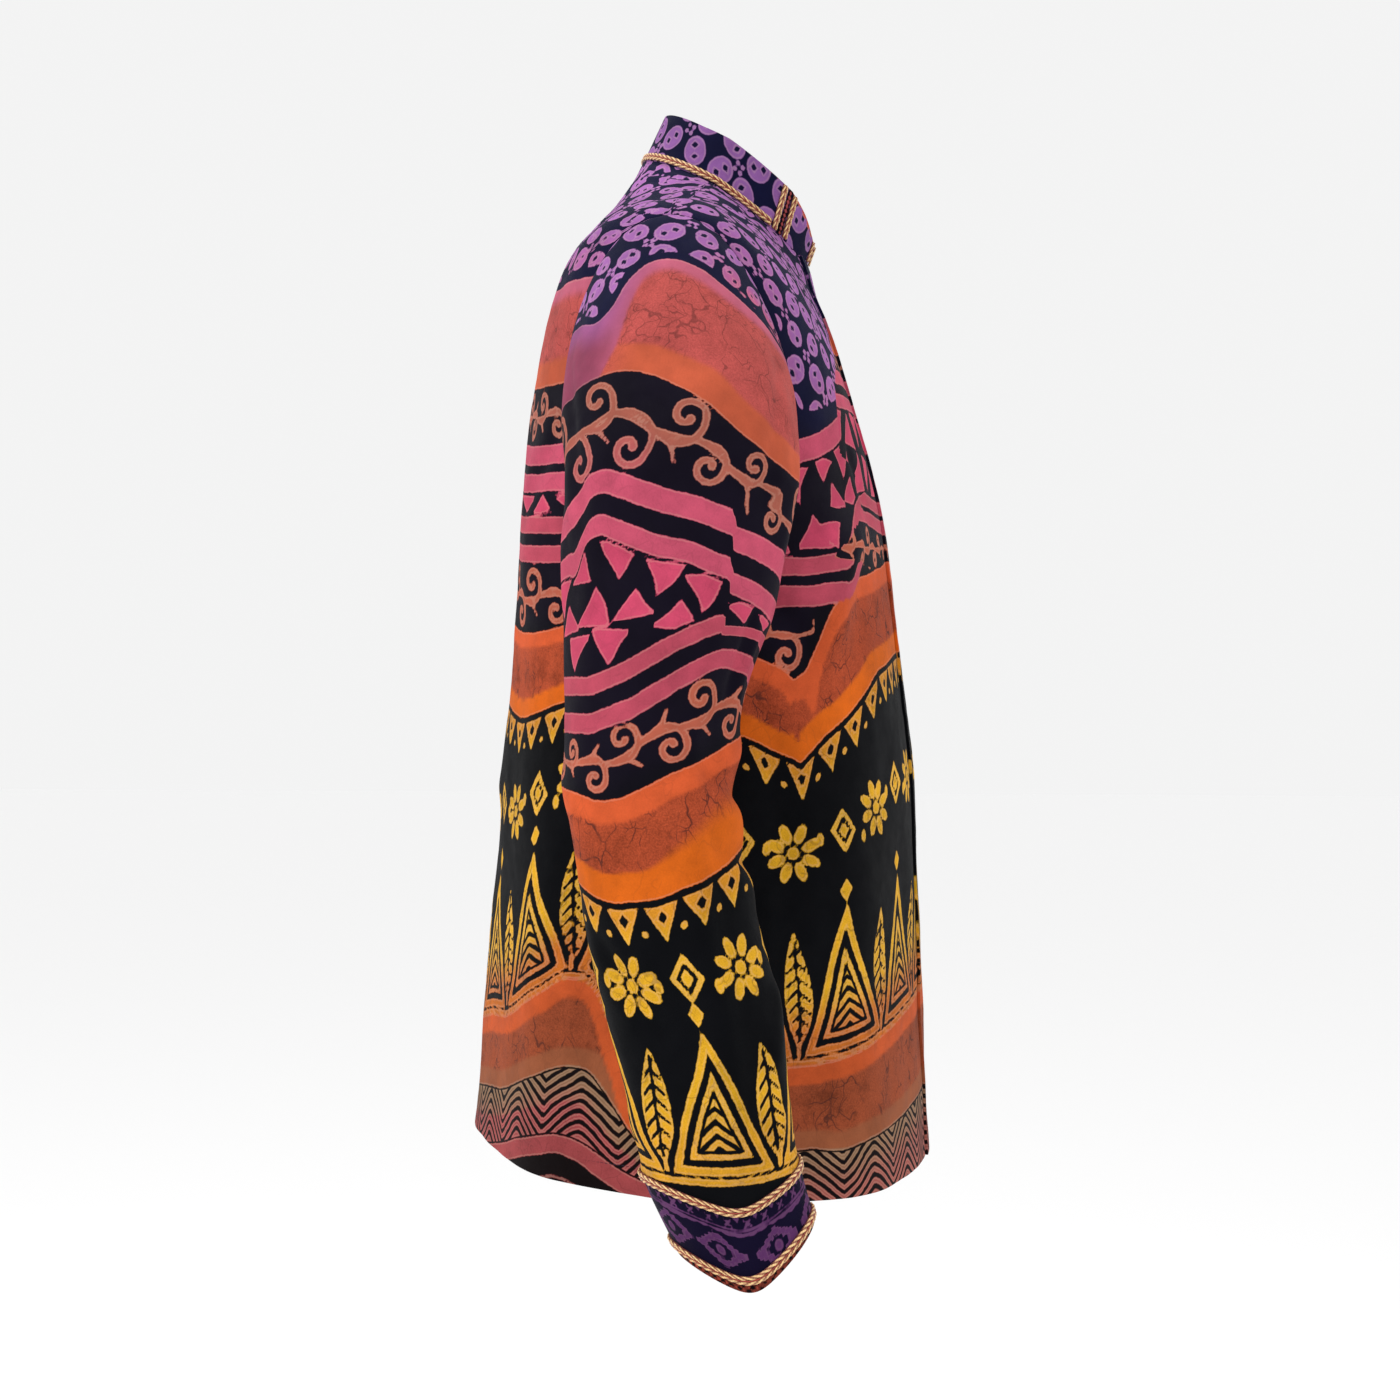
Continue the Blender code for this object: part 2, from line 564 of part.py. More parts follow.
def make_sleeves(cloth, cuff_cloth, gold, maroon):
    for side_name, side in (("right", -1), ("left", 1)):
        sleeve(side_name, side, cloth)
        cuff_band("cuff_" + side_name, side, CUFF_CLOTH, CUFF_ROWS, -WALL, WALL, cuff_cloth)
        cuff_band("cuff_edge_" + side_name, side, CUFF_EDGE, 1, -WALL, WALL, maroon)
        cuff_band("cuff_braid_top_" + side_name, side, CUFF_TOP_BRAID, 1, TRIM_LIFT, TRIM_THICK, gold)
        cuff_band("cuff_braid_low_" + side_name, side, CUFF_LOW_BRAID, 1, TRIM_LIFT, TRIM_THICK, gold)


def main():
    clear_scene()
    front_left(cloth_material("front_left_cloth", ORANGE, 0.75))
    front_right(cloth_material("front_right_cloth", BRICK, 0.75))
    back(cloth_material("back_cloth", PLUM, 0.75))
    gold = cloth_material("gold_braid", GOLD, 0.45)
    maroon = cloth_material("edge_cloth", MAROON, 0.75)
    navy = cloth_material("collar_cloth", NAVY, 0.75)
    make_sleeves(cloth_material("sleeve_cloth", BRICK, 0.75), navy, gold, maroon)
    collar(navy)
    make_collar_trims(gold, maroon)


main()
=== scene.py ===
import functools
import math

import bpy
import mathutils
import numpy as np
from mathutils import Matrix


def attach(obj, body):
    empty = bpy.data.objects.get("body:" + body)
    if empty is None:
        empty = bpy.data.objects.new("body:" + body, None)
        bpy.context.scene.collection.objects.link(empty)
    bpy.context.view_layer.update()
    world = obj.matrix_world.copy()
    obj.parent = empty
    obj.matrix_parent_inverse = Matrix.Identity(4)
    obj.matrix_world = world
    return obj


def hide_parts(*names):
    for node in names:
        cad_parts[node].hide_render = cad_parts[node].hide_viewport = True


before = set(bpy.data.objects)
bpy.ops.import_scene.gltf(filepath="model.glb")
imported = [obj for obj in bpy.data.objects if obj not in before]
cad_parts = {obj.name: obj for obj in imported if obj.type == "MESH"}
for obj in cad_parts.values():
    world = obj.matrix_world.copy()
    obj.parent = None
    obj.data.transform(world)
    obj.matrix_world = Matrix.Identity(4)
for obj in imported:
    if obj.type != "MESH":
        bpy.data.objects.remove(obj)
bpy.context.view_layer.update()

# sizes in metres, angles in degrees
cloth = {
    "wall": 0.0014,
    "seamGap": 0.0003,
    "cuffWall": 0.0015,
    "collarWall": 0.0016,
    "foldExtra": 0.0006,
    "hemFold": 0.018,
    "frontFold": 0.034,
    "frontSpacing": 0.0022,
    "frontColumns": 147,
    "backSpacing": 0.00255,
    "backColumns": 234,
    "sleeveSpacing": 0.0019,
    "sleeveColumns": 216,
    "cuffRows": 36,
    "cuffEdgeRows": 6,
    "cuffColumns": 240,
    "collarRows": 27,
    "collarColumns": 312,
    "stripRows": 36,
    "stripColumns": 9,
    "lapOut": 0.026,
    "lapUnder": 0.018,
    "lapLift": 0.0022,
    "lapFlat": 0.004,
    "lapBlend": 0.050,
    "armholeFront": 35.0,
    "armholeBack": 34.0,
    "armholeWalk": 0.23,
}

torsoColumns = (
    "halfWidth", "sideY", "sideZ", "frontY", "frontZ", "backY", "backZ", "squareness", "tilt",
)
torsoRings = {
    "hem": (0.212, 0.000, -0.7155, -0.1740, -0.727, 0.1640, -0.7025, 2.10, 1.0),
    "hip": (0.209, 0.000, -0.600, -0.1680, -0.603, 0.1555, -0.600, 2.15, 2.0),
    "waist": (0.204, 0.000, -0.450, -0.1630, -0.452, 0.1470, -0.450, 2.30, 2.0),
    "chest": (0.202, 0.000, -0.335, -0.1510, -0.338, 0.1375, -0.335, 2.35, 2.0),
    "armpit": (0.205, -0.003, -0.240, -0.1415, -0.262, 0.1295, -0.245, 2.35, 2.0),
    "armhole": (0.2165, -0.004, -0.152, -0.1305, -0.212, 0.1215, -0.172, 2.30, 2.0),
    "shoulderTip": (0.222, -0.005, -0.066, -0.1170, -0.164, 0.1040, -0.098, 2.15, 2.0),
    "shoulder": (0.150, -0.009, -0.038, -0.1015, -0.112, 0.0840, -0.040, 2.10, 1.8),
    "nearNeck": (0.108, -0.014, -0.020, -0.0895, -0.080, 0.0640, -0.007, 2.05, 1.4),
    "neck": (0.072, -0.019, -0.006, -0.0820, -0.052, 0.0440, 0.028, 2.00, 1.0),
}
hem, armpit, shoulderTip, neck = 0.0, 4.0, 6.0, 9.0

foldColumns = ("topRing", "footRing", "topAngle", "footAngle", "height", "softWidth", "steepWidth", "sign")
bodyFolds = {
    "dragRight": (4.2, 2.5, -33.0, -57.0, 0.013, 17.0, 7.0, 1),
    "dragLeft": (4.0, 2.3, 36.0, 55.0, 0.010, 16.0, 8.0, -1),
    "bladeRight": (4.7, 2.9, -140.0, -136.0, 0.006, 11.0, 7.0, -1),
    "bladeLeft": (4.6, 2.7, 143.0, 138.0, 0.005, 12.0, 8.0, 1),
    "hangRightFront": (2.6, -1.5, -44.0, -47.0, 0.008, 13.0, 11.0, 1),
    "hangRightSide": (2.3, -1.5, -82.0, -84.0, 0.007, 12.0, 10.0, -1),
    "hangRightBack": (2.5, -1.0, -126.0, -122.0, 0.007, 13.0, 11.0, -1),
    "hangBack": (2.0, -1.5, -166.0, -164.0, 0.006, 12.0, 10.0, 1),
    "hangLeftBack": (2.4, -1.5, 138.0, 133.0, 0.009, 13.0, 10.0, 1),
    "hangLeftSide": (2.2, -1.5, 92.0, 95.0, 0.007, 12.0, 10.0, -1),
    "hangLeftFront": (2.5, -1.5, 40.0, 44.0, 0.008, 12.0, 11.0, -1),
}

sleeveColumns = (
    "out", "y", "z", "halfFront", "halfOut", "rise", "pitch", "ridge", "ridgeAngle", "drop",
)
sleeveRings = {
    "upperArm": (0.2665, -0.0148, -0.2620, 0.0730, 0.0505, 0.028, 0.000, 0.000, 38.0, 0.0000),
    "biceps": (0.2710, -0.0105, -0.3250, 0.0655, 0.0500, 0.018, 0.000, 0.002, 36.0, 0.0000),
    "aboveElbow": (0.2760, -0.0015, -0.3850, 0.0550, 0.0490, 0.010, 0.001, 0.004, 33.0, 0.0020),
    "elbow": (0.2820, 0.0017, -0.4450, 0.0515, 0.0475, 0.006, 0.002, 0.005, 30.0, 0.0040),
    "forearm": (0.2885, -0.0098, -0.5130, 0.0525, 0.0450, 0.003, 0.003, 0.006, 27.0, 0.0080),
    "lowerForearm": (0.2940, -0.0270, -0.5800, 0.0535, 0.0410, 0.001, 0.004, 0.006, 24.0, 0.0120),
    "aboveCuff": (0.2980, -0.0380, -0.6330, 0.0500, 0.0375, 0.000, 0.004, 0.004, 20.5, 0.0150),
    "cuffSeam": (0.3000, -0.0443, -0.6715, 0.0485, 0.0360, 0.000, 0.004, 0.003, 17.0, 0.0185),
    "cuffEnd": (0.3020, -0.0600, -0.7115, 0.0420, 0.0345, 0.000, 0.010, 0.002, 11.0, 0.0260),
}
sleeveShape = {"squareness": 2.1, "ridgeWidth": 13.0, "dropSoftness": 0.30, "cuffSeam": 8.0, "cuffEnd": 9.0}

sleeveFoldColumns = ("station", "angle", "height", "length", "width", "slant")
sleeveFolds = {
    "elbowBend": (4.15, 70.0, 0.0050, 0.22, 55.0, 0.30),
    "aboveBend": (3.55, 95.0, 0.0035, 0.20, 50.0, -0.25),
    "belowBend": (4.75, 80.0, 0.0030, 0.22, 45.0, 0.35),
    "overCuff": (7.25, 300.0, 0.0030, 0.30, 60.0, 0.25),
    "backHang": (2.40, 265.0, 0.0040, 1.60, 24.0, 0.00),
    "capCrease": (1.70, 318.0, 0.0025, 1.50, 12.0, 0.00),
}


def smoothStep(low, high, value):
    # 0 below low, 1 above high, and 3 s^2 - 2 s^3 of the share s between them
    share = np.clip((value - low) / (high - low), 0.0, 1.0)
    return share * share * (3 - 2 * share)


def unit(vectors):
    # each vector divided by its length
    return vectors / np.linalg.norm(vectors, axis=-1, keepdims=True)


def cubicBlend(t, start, leave, finish, arrive):
    # a cubic from one value to another, with the slopes that it leaves and arrives with
    return (
        start * (2 * t**3 - 3 * t**2 + 1)
        + leave * (t**3 - 2 * t**2 + t)
        + finish * (3 * t**2 - 2 * t**3)
        + arrive * (t**3 - t**2)
    )


def smoothRead(table, names, column, place):
    # a cubic that passes through each row of the table, read at any place between the rows
    values = np.array([row[names.index(column)] for row in table.values()])
    values = np.concatenate([[2 * values[0] - values[1]], values, [2 * values[-1] - values[-2]]])
    last = len(table) - 1
    inside = np.clip(place, 0.0, last)
    start = np.minimum(inside.astype(int), last - 1)
    t = inside - start
    before, here, after, beyond = (values[start + k] for k in range(4))
    bend = cubicBlend(t, here, (after - before) / 2, after, (beyond - here) / 2)
    return bend + (place - inside) * np.where(place < 0, values[1] - values[0], values[-1] - values[-2])


def ringReach(cosine, sine, squareness):
    # a superellipse's reach: (|cos|^n + |sin|^n) to the power -1/n
    return (np.abs(cosine) ** squareness + np.abs(sine) ** squareness) ** (-1 / squareness)


def around(angle):
    # the same angle, from -180 to 180
    return (angle + 180.0) % 360.0 - 180.0


def together(first, second):
    # both as arrays of one shape
    return np.broadcast_arrays(np.asarray(first, float), np.asarray(second, float))


def turned(angle):
    # the cosine and the sine of an angle in degrees
    return np.cos(np.radians(angle)), np.sin(np.radians(angle))


def bump(away, width):
    # 1 in the middle and exp(-(away / width)^2) beside it
    return np.exp(-((away / width) ** 2))


def foldHeight(ring, angle):
    # each fold is a bump across the angle, steeper on one side, that fades at its two ends
    total = np.zeros(np.broadcast(ring, angle).shape)
    for row in bodyFolds.values():
        fold = dict(zip(foldColumns, row))
        along = (fold["topRing"] - ring) / (fold["topRing"] - fold["footRing"])
        centre = fold["topAngle"] + (fold["footAngle"] - fold["topAngle"]) * along
        away = around(angle - centre)
        width = np.where(away * fold["sign"] > 0, fold["steepWidth"], fold["softWidth"])
        fade = smoothStep(0.0, 0.35, along) * smoothStep(1.0, 0.65, along)
        total = total + fold["height"] * fade * bump(away, width)
    return total


def torsoPoint(ring, angle, folded=True):
    # a superellipse for each ring, whose height runs from the side's to the front's or the back's
    ring, angle = together(ring, angle)
    size = {name: smoothRead(torsoRings, torsoColumns, name, ring) for name in torsoColumns}
    cosine, sine = turned(angle)
    front = cosine >= 0
    reach = ringReach(cosine, sine, size["squareness"])
    toY = np.where(front, size["frontY"], size["backY"]) - size["sideY"]
    toZ = np.where(front, size["frontZ"], size["backZ"]) - size["sideZ"]
    fold = foldHeight(ring, angle) if folded else 0.0
    x = size["halfWidth"] * reach * sine + fold * sine
    y = size["sideY"] + toY * reach * np.abs(cosine) - fold * cosine
    z = size["sideZ"] + toZ * np.abs(cosine) ** size["tilt"]
    return np.stack([x, y, z], axis=-1)


def torsoNormal(ring, angle):
    # the cross product of a step round the ring and a step up
    up = torsoPoint(np.minimum(ring + 0.01, neck), angle) - torsoPoint(np.maximum(ring - 0.01, hem), angle)
    roundIt = torsoPoint(ring, angle + 0.3) - torsoPoint(ring, angle - 0.3)
    return unit(np.cross(roundIt, up))


def armholePlace(turn):
    # half an oval: the middle ring plus half the height times cos, and 90 less the bulge times sin
    cosine, sine = turned(turn)
    middle = (armpit + shoulderTip) / 2
    ring = middle + (shoulderTip - armpit) / 2 * cosine
    bulge = np.where(sine > 0, cloth["armholeFront"], cloth["armholeBack"])
    return ring, 90.0 - bulge * sine


def sleeveRing(station, turn, side):
    # a superellipse for each station, tilted, with a pressed ridge that also pulls the ring down
    size = {name: smoothRead(sleeveRings, sleeveColumns, name, station - 1.0) for name in sleeveColumns}
    cosine, sine = turned(turn)
    reach = ringReach(cosine, sine, sleeveShape["squareness"])
    away = around(turn - size["ridgeAngle"])
    opposite = (turn - size["ridgeAngle"]) % 360.0 - 180.0
    width = sleeveShape["ridgeWidth"]
    ridge = bump(away, width) + 0.6 * bump(opposite, width)
    soft = sleeveShape["dropSoftness"]
    ahead, aside = turned(away)
    slope = (np.sqrt(aside**2 + soft**2) - soft) / (math.sqrt(1 + soft**2) - soft)
    drop = np.where(ahead > 0, 1 - slope, 0.0)
    proud = size["ridge"] * ridge + sleeveFoldHeight(station, turn, side)
    x = size["out"] + (size["halfOut"] * reach + proud) * cosine
    y = size["y"] - (size["halfFront"] * reach + proud) * sine
    z = size["z"] + size["rise"] * cosine + size["pitch"] * sine - size["drop"] * drop
    return np.stack([x, y, z], axis=-1)


def sleeveFoldHeight(station, turn, side):
    # each fold is a bump along the sleeve times a bump round it, set askew by its slant
    total = np.zeros(np.broadcast(station, turn).shape)
    shift = 0.0 if side < 0 else 0.22
    for row in sleeveFolds.values():
        fold = dict(zip(sleeveFoldColumns, row))
        away = around(turn - fold["angle"] - 20.0 * shift)
        along = station - fold["station"] - shift - fold["slant"] * away / 60.0
        total = total + fold["height"] * (bump(along, fold["length"]) * bump(away, fold["width"]))
    return total * smoothStep(7.9, 7.3, station) * smoothStep(1.0, 1.5, station)


def sleevePoint(station, turn, side):
    # from the armhole at station 0, by a smooth bend, to the tube from station 1 on
    station, turn = together(station, turn)
    cosine, sine = turned(turn)
    tube = sleeveRing(np.maximum(station, 1.0), turn, side)
    start = torsoPoint(*armholePlace(turn))
    leave = np.stack([0.052 + 0.024 * cosine, -0.016 * sine, -0.018 * (1 + cosine)], axis=-1)
    top = sleeveRing(np.ones(turn.shape), turn, side)
    below = sleeveRing(np.full(turn.shape, 1.05), turn, side)
    arrive = unit(below - top) * (0.085 + 0.035 * cosine)[..., None]
    t = np.clip(station, 0.0, 1.0)[..., None]
    return np.where(station[..., None] < 1.0, cubicBlend(t, start, leave, top, arrive), tube)


def sleeveNormal(station, turn, side):
    # the cross product of a step round the sleeve and a step down it
    station, turn = together(station, turn)
    down = sleevePoint(station + 0.01, turn, side) - sleevePoint(np.maximum(station - 0.01, 0.0), turn, side)
    roundIt = sleevePoint(station, turn + 0.5, side) - sleevePoint(station, turn - 0.5, side)
    return unit(np.cross(roundIt, down))


# the cloth's own measure, in millimetres: across it from the front centre, and up it
rowsPerRing = 20
tableAngles = np.linspace(-180.0, 180.0, 361)
tableMiddle = 180
tableRings = np.linspace(hem, neck, int(neck - hem) * rowsPerRing + 1)


def lengthsAlong(points, axis, zero):
    # distance walked along one axis of a grid of points, counted from the index called zero
    step = np.linalg.norm(np.diff(points, axis=axis), axis=-1)
    walked = np.insert(np.cumsum(step, axis=axis), 0, 0.0, axis=axis)
    return 1000 * (walked - np.take(walked, [zero], axis=axis))


def readGrid(table, row, column):
    # the value between the four nearest places of a table, in shares of a step
    row = np.clip(row, 0.0, table.shape[0] - 1.001)
    column = np.clip(column, 0.0, table.shape[1] - 1.001)
    r, c = row.astype(int), column.astype(int)
    fr, fc = row - r, column - c
    low = table[r, c] * (1 - fc) + table[r, c + 1] * fc
    high = table[r + 1, c] * (1 - fc) + table[r + 1, c + 1] * fc
    return low * (1 - fr) + high * fr


def torsoMeasure():
    # lengths walked round each ring from the front, and up from the armpit's ring
    points = torsoPoint(tableRings[:, None], tableAngles[None, :], folded=False)
    atArmpit = int(np.argmin(np.abs(tableRings - armpit)))
    across = lengthsAlong(points, 1, tableMiddle)
    along = lengthsAlong(points, 0, atArmpit) + 1000 * points[atArmpit, :, 2]
    return across, along


def sleeveMeasure():
    # the right sleeve's, from its first full ring down, one station apart
    last = len(sleeveRings)
    stations = np.linspace(0.0, last, last * rowsPerRing + 1)
    points = sleevePoint(stations[:, None], tableAngles[None, :], -1)
    across = lengthsAlong(points, 1, tableMiddle)
    along = 1000 * points[rowsPerRing, :, 2] - lengthsAlong(points, 0, rowsPerRing)
    return across, along


torsoTable = torsoMeasure()
sleeveTable = sleeveMeasure()


def readPlace(tables, row, angle):
    # across the cloth and up it, read from the two tables at a ring or station and an angle
    place = (row * rowsPerRing, around(angle) + 180.0)
    return readGrid(tables[0], *place), readGrid(tables[1], *place)


def torsoPlace(ring, angle):
    return readPlace(torsoTable, ring, angle)


def sleevePlace(station, turn):
    return readPlace(sleeveTable, station, turn)


def yokeMeasure():
    # above the armpit, where the rings close towards the neck, the cloth is followed as it was cut, outwards
    # from the middle of its front or back: one direction lies in upright planes that run front to back, and
    # the other lies across them
    points = torsoPoint(tableRings[:, None], tableAngles[None, :])
    normals = torsoNormal(tableRings[:, None], tableAngles[None, :])
    across = unit(np.array([1.0, 1e-6, 1e-6]) - normals[..., 0:1] * normals)
    up = np.cross(normals, across)
    up = up * np.where(up[..., 2:] < 0, -1.0, 1.0)
    across = across * np.where(np.abs(tableAngles) > 90.0, -1.0, 1.0)[None, :, None]
    step = 1000 * np.diff(points, axis=1)
    share = smoothStep(armpit, armpit + 0.5, tableRings)[:, None]
    places = []
    for table, direction in ((torsoTable[0], across), (torsoTable[1], up)):
        moves = (step * (direction[:, 1:] + direction[:, :-1]) / 2).sum(axis=-1)
        walked = np.insert(np.cumsum(moves, axis=1), 0, 0.0, axis=1)
        rightBack, front, leftBack = (
            walked - walked[:, k : k + 1] + table[:, k : k + 1] for k in (0, tableMiddle, 2 * tableMiddle)
        )
        cut = np.where(tableAngles < -90.0, rightBack, np.where(tableAngles > 90.0, leftBack, front))
        places.append(table * (1 - share) + cut * share)
    return places


yokeTable = yokeMeasure()


def yokePlace(ring, angle):
    # as torsoPlace, but true to the cut near the neck; folds pressed under the collar take up some of it
    across, up = readPlace(yokeTable, ring, angle)
    return across, up + 30.0 * smoothStep(8.40, 8.92, ring) * gatherShare(angle)


def gatherShare(angle):
    # how much the cloth is gathered under the collar: most over the shoulders
    away = np.abs(around(angle))
    return smoothStep(56.0, 76.0, away) * smoothStep(158.0, 128.0, away)


def fromBackMiddle(ring, across):
    # places counted from the middle of the back, with the wearer's right above zero
    half = readGrid(torsoTable[0], ring * rowsPerRing, np.full(np.shape(ring), 2.0 * tableMiddle))
    return np.where(across < 0, across + half, across - half)


# soft creases of the worn cloth: two ends of each on the form, its height and half its width in millimetres
creaseColumns = ("fromRow", "fromAngle", "toRow", "toAngle", "height", "width")
bodyCreases = {
    "underArmRight": (3.9, -78.0, 2.6, -52.0, -3.2, 9.0),
    "underArmRightLow": (3.4, -84.0, 1.9, -62.0, 2.6, 11.0),
    "chestRight": (4.9, -34.0, 3.9, -22.0, -2.2, 8.0),
    "waistRight": (2.9, -70.0, 1.2, -60.0, -2.4, 12.0),
    "hipRight": (1.7, -66.0, 0.3, -72.0, 2.2, 14.0),
    "placketPull": (3.3, -10.0, 2.7, -30.0, 1.8, 9.0),
    "underArmLeft": (3.8, 76.0, 2.5, 50.0, -3.0, 9.0),
    "underArmLeftLow": (3.2, 82.0, 2.0, 66.0, 2.4, 12.0),
    "chestLeft": (5.0, 30.0, 4.0, 20.0, -2.0, 8.0),
    "waistLeft": (2.7, 68.0, 1.0, 58.0, -2.6, 12.0),
    "hipLeft": (1.5, 62.0, 0.2, 70.0, 2.0, 14.0),
    "backArmRight": (4.8, -122.0, 3.6, -146.0, -2.8, 9.0),
    "backArmRightLow": (3.9, -106.0, 2.7, -128.0, -2.4, 10.0),
    "backArmLeft": (4.7, 124.0, 3.5, 150.0, -2.6, 9.0),
    "backArmLeftLow": (3.8, 108.0, 2.5, 132.0, 2.4, 11.0),
    "backSway": (2.7, -160.0, 2.2, -196.0, -2.0, 13.0),
    "backSwayLow": (2.1, -150.0, 1.7, -192.0, 1.8, 13.0),
    "backHang": (1.9, -172.0, 0.2, -175.0, -2.4, 15.0),
    "neckRight": (8.7, -62.0, 7.2, -74.0, -2.0, 6.0),
    "neckRightBack": (8.6, -88.0, 7.0, -98.0, 1.8, 6.0),
    "neckLeft": (8.7, 64.0, 7.1, 78.0, -2.0, 6.0),
    "neckLeftBack": (8.6, 92.0, 7.2, 104.0, 1.6, 6.0),
    "yokeBack": (8.5, -168.0, 7.0, -150.0, -1.8, 8.0),
}
sleeveCreases = {
    "capFront": (0.25, 62.0, 1.5, 48.0, -2.4, 8.0),
    "capFrontLow": (0.55, 84.0, 2.0, 74.0, 2.2, 9.0),
    "capBack": (0.30, 292.0, 1.7, 318.0, -2.6, 8.0),
    "capBackLow": (0.70, 262.0, 2.3, 282.0, 2.0, 9.0),
    "tuck": (2.05, 62.0, 3.25, 60.0, -2.8, 5.0),
    "tuckSide": (2.15, 72.0, 3.35, 70.0, 2.2, 6.0),
    "elbowFront": (3.75, 30.0, 4.15, 118.0, -2.8, 8.0),
    "elbowFrontLow": (4.45, 40.0, 4.75, 128.0, -2.4, 8.0),
    "elbowBack": (3.60, 250.0, 4.35, 322.0, 2.4, 10.0),
    "forearmPull": (5.10, 300.0, 6.20, 352.0, -2.2, 9.0),
    "forearmFront": (5.60, 96.0, 6.60, 58.0, 2.2, 9.0),
    "aboveCuffOne": (6.90, 330.0, 7.55, 352.0, -2.2, 6.0),
    "aboveCuffTwo": (6.85, 66.0, 7.60, 56.0, 2.0, 6.0),
    "aboveCuffThree": (6.80, 128.0, 7.60, 140.0, -2.2, 6.0),
    "aboveCuffFour": (6.80, 214.0, 7.60, 206.0, 2.2, 7.0),
}


def creaseHeight(points, paths, table):
    # a crease is a soft ridge or trough round a line of points; it fades out at the line's two ends
    total = np.zeros(points.shape[:-1])
    for path, row in zip(paths, table.values()):
        crease = dict(zip(creaseColumns, row))
        nearest = np.full(total.shape, 1e9)
        share = np.zeros(total.shape)
        for k in range(len(path) - 1):
            leg = path[k + 1] - path[k]
            t = np.clip((points - path[k]) @ leg / (leg @ leg), 0.0, 1.0)
            away = np.linalg.norm(points - path[k] - t[..., None] * leg, axis=-1)
            share = np.where(away < nearest, (k + t) / (len(path) - 1), share)
            nearest = np.minimum(nearest, away)
        width = crease["width"] / 1000 * (0.75 + 0.5 * share)
        fade = smoothStep(0.0, 0.22, share) * smoothStep(1.0, 0.70, share)
        total = total + crease["height"] / 1000 * fade * bump(nearest, width)
    return total


def latticeNoise(points, scale, seed):
    # random values at the corners of a cubic lattice, blended smoothly between them, from -1 to 1
    lattice = np.random.default_rng(seed).uniform(-1.0, 1.0, (32, 32, 32))
    place = points * scale + 100.0
    corner = np.floor(place).astype(int)
    share = place - corner
    share = share * share * (3 - 2 * share)
    total = np.zeros(points.shape[:-1])
    for k in range(8):
        step = np.array([k & 1, k >> 1 & 1, k >> 2 & 1])
        weight = np.prod(np.where(step == 1, share, 1 - share), axis=-1)
        total = total + weight * lattice[tuple(((corner + step) % 32)[..., axis] for axis in range(3))]
    return total


def armholeFade(points):
    # 0 at the armhole's edge and 1 from 30 mm away, so that the body and the sleeve meet there
    loop = torsoPoint(*armholePlace(np.arange(0.0, 360.0, 3.0)))
    folded = points.copy()
    folded[..., 0] = np.abs(folded[..., 0])
    nearest = np.full(points.shape[:-1], 1e9)
    for spot in loop:
        nearest = np.minimum(nearest, ((folded - spot) ** 2).sum(axis=-1))
    return smoothStep(0.003, 0.030, np.sqrt(nearest))


def ripple(points):
    # the cloth's general unevenness: broad, then small
    broad = latticeNoise(points, 16.0, 11) * 0.0016
    middle = latticeNoise(points * np.array([1.0, 1.0, 0.55]), 38.0, 12) * 0.0009
    small = latticeNoise(points, 95.0, 13) * 0.00022
    return broad + middle + small


bodyCreasePaths = [
    torsoPoint(np.linspace(row[0], row[2], 8), np.linspace(row[1], row[3], 8)) for row in bodyCreases.values()
]


def bodyRelief(points, ring):
    # creases and unevenness, with gathers near the neck: a sine of the ring, bent by noise
    quiet = smoothStep(neck, 8.7, ring)
    angle = np.degrees(np.arctan2(points[..., 0], -points[..., 1] - 0.019))
    wander = latticeNoise(points, 30.0, 14)
    gather = np.sin(ring * 26.0 + 2.4 * wander + angle / 17.0) * (0.6 + 0.4 * latticeNoise(points, 55.0, 15))
    gather = 0.0010 * gather * smoothStep(8.20, 8.5, ring) * smoothStep(9.0, 8.9, ring) * gatherShare(angle)
    total = (creaseHeight(points, bodyCreasePaths, bodyCreases) + ripple(points)) * quiet + gather
    return total * armholeFade(points)


def sleeveRelief(points, station, side):
    # creases and unevenness; the left sleeve's creases start a little lower
    shift = 0.0 if side < 0 else 0.18
    paths = []
    for row in sleeveCreases.values():
        stations = np.linspace(row[0], row[2], 8) + shift
        turns = np.linspace(row[1], row[3], 8) - 60.0 * shift
        paths.append(sleevePoint(stations, turns, side))
    quiet = smoothStep(sleeveShape["cuffSeam"], sleeveShape["cuffSeam"] - 0.25, station)
    total = creaseHeight(points, paths, sleeveCreases) + ripple(sideways(points, side))
    return total * armholeFade(points) * quiet


# meshes: a dense outer face, a coarser inner face, and a rim of triangles between them
def stripQuads(grid):
    return np.stack([grid[:-1, :-1], grid[:-1, 1:], grid[1:, 1:], grid[1:, :-1]], axis=-1).reshape(-1, 4)


def rimFaces(outerLine, innerLine, every):
    # a fan from each inner point to its outer points, and one triangle between two fans
    half = every // 2
    faces, places = [], []
    start = np.arange(len(innerLine) - 1) * every
    length = len(outerLine) - 1
    for k in range(every):
        inner = 0 if k < half else 1
        anchor = np.arange(len(innerLine) - 1) + inner
        faces.append(np.stack([outerLine[start + k], outerLine[start + k + 1], innerLine[anchor]], axis=-1))
        spot = np.stack([start + k, start + k + 1, anchor * every], axis=-1) / length
        places.append(np.stack([spot, np.tile([0.0, 0.0, 1.0], (len(start), 1))], axis=-1))
    anchor = np.arange(len(innerLine) - 1)
    faces.append(np.stack([outerLine[start + half], innerLine[anchor + 1], innerLine[anchor]], axis=-1))
    spot = np.stack([start + half, (anchor + 1) * every, anchor * every], axis=-1) / length
    places.append(np.stack([spot, np.tile([0.0, 1.0, 1.0], (len(start), 1))], axis=-1))
    return np.concatenate(faces), np.concatenate(places)


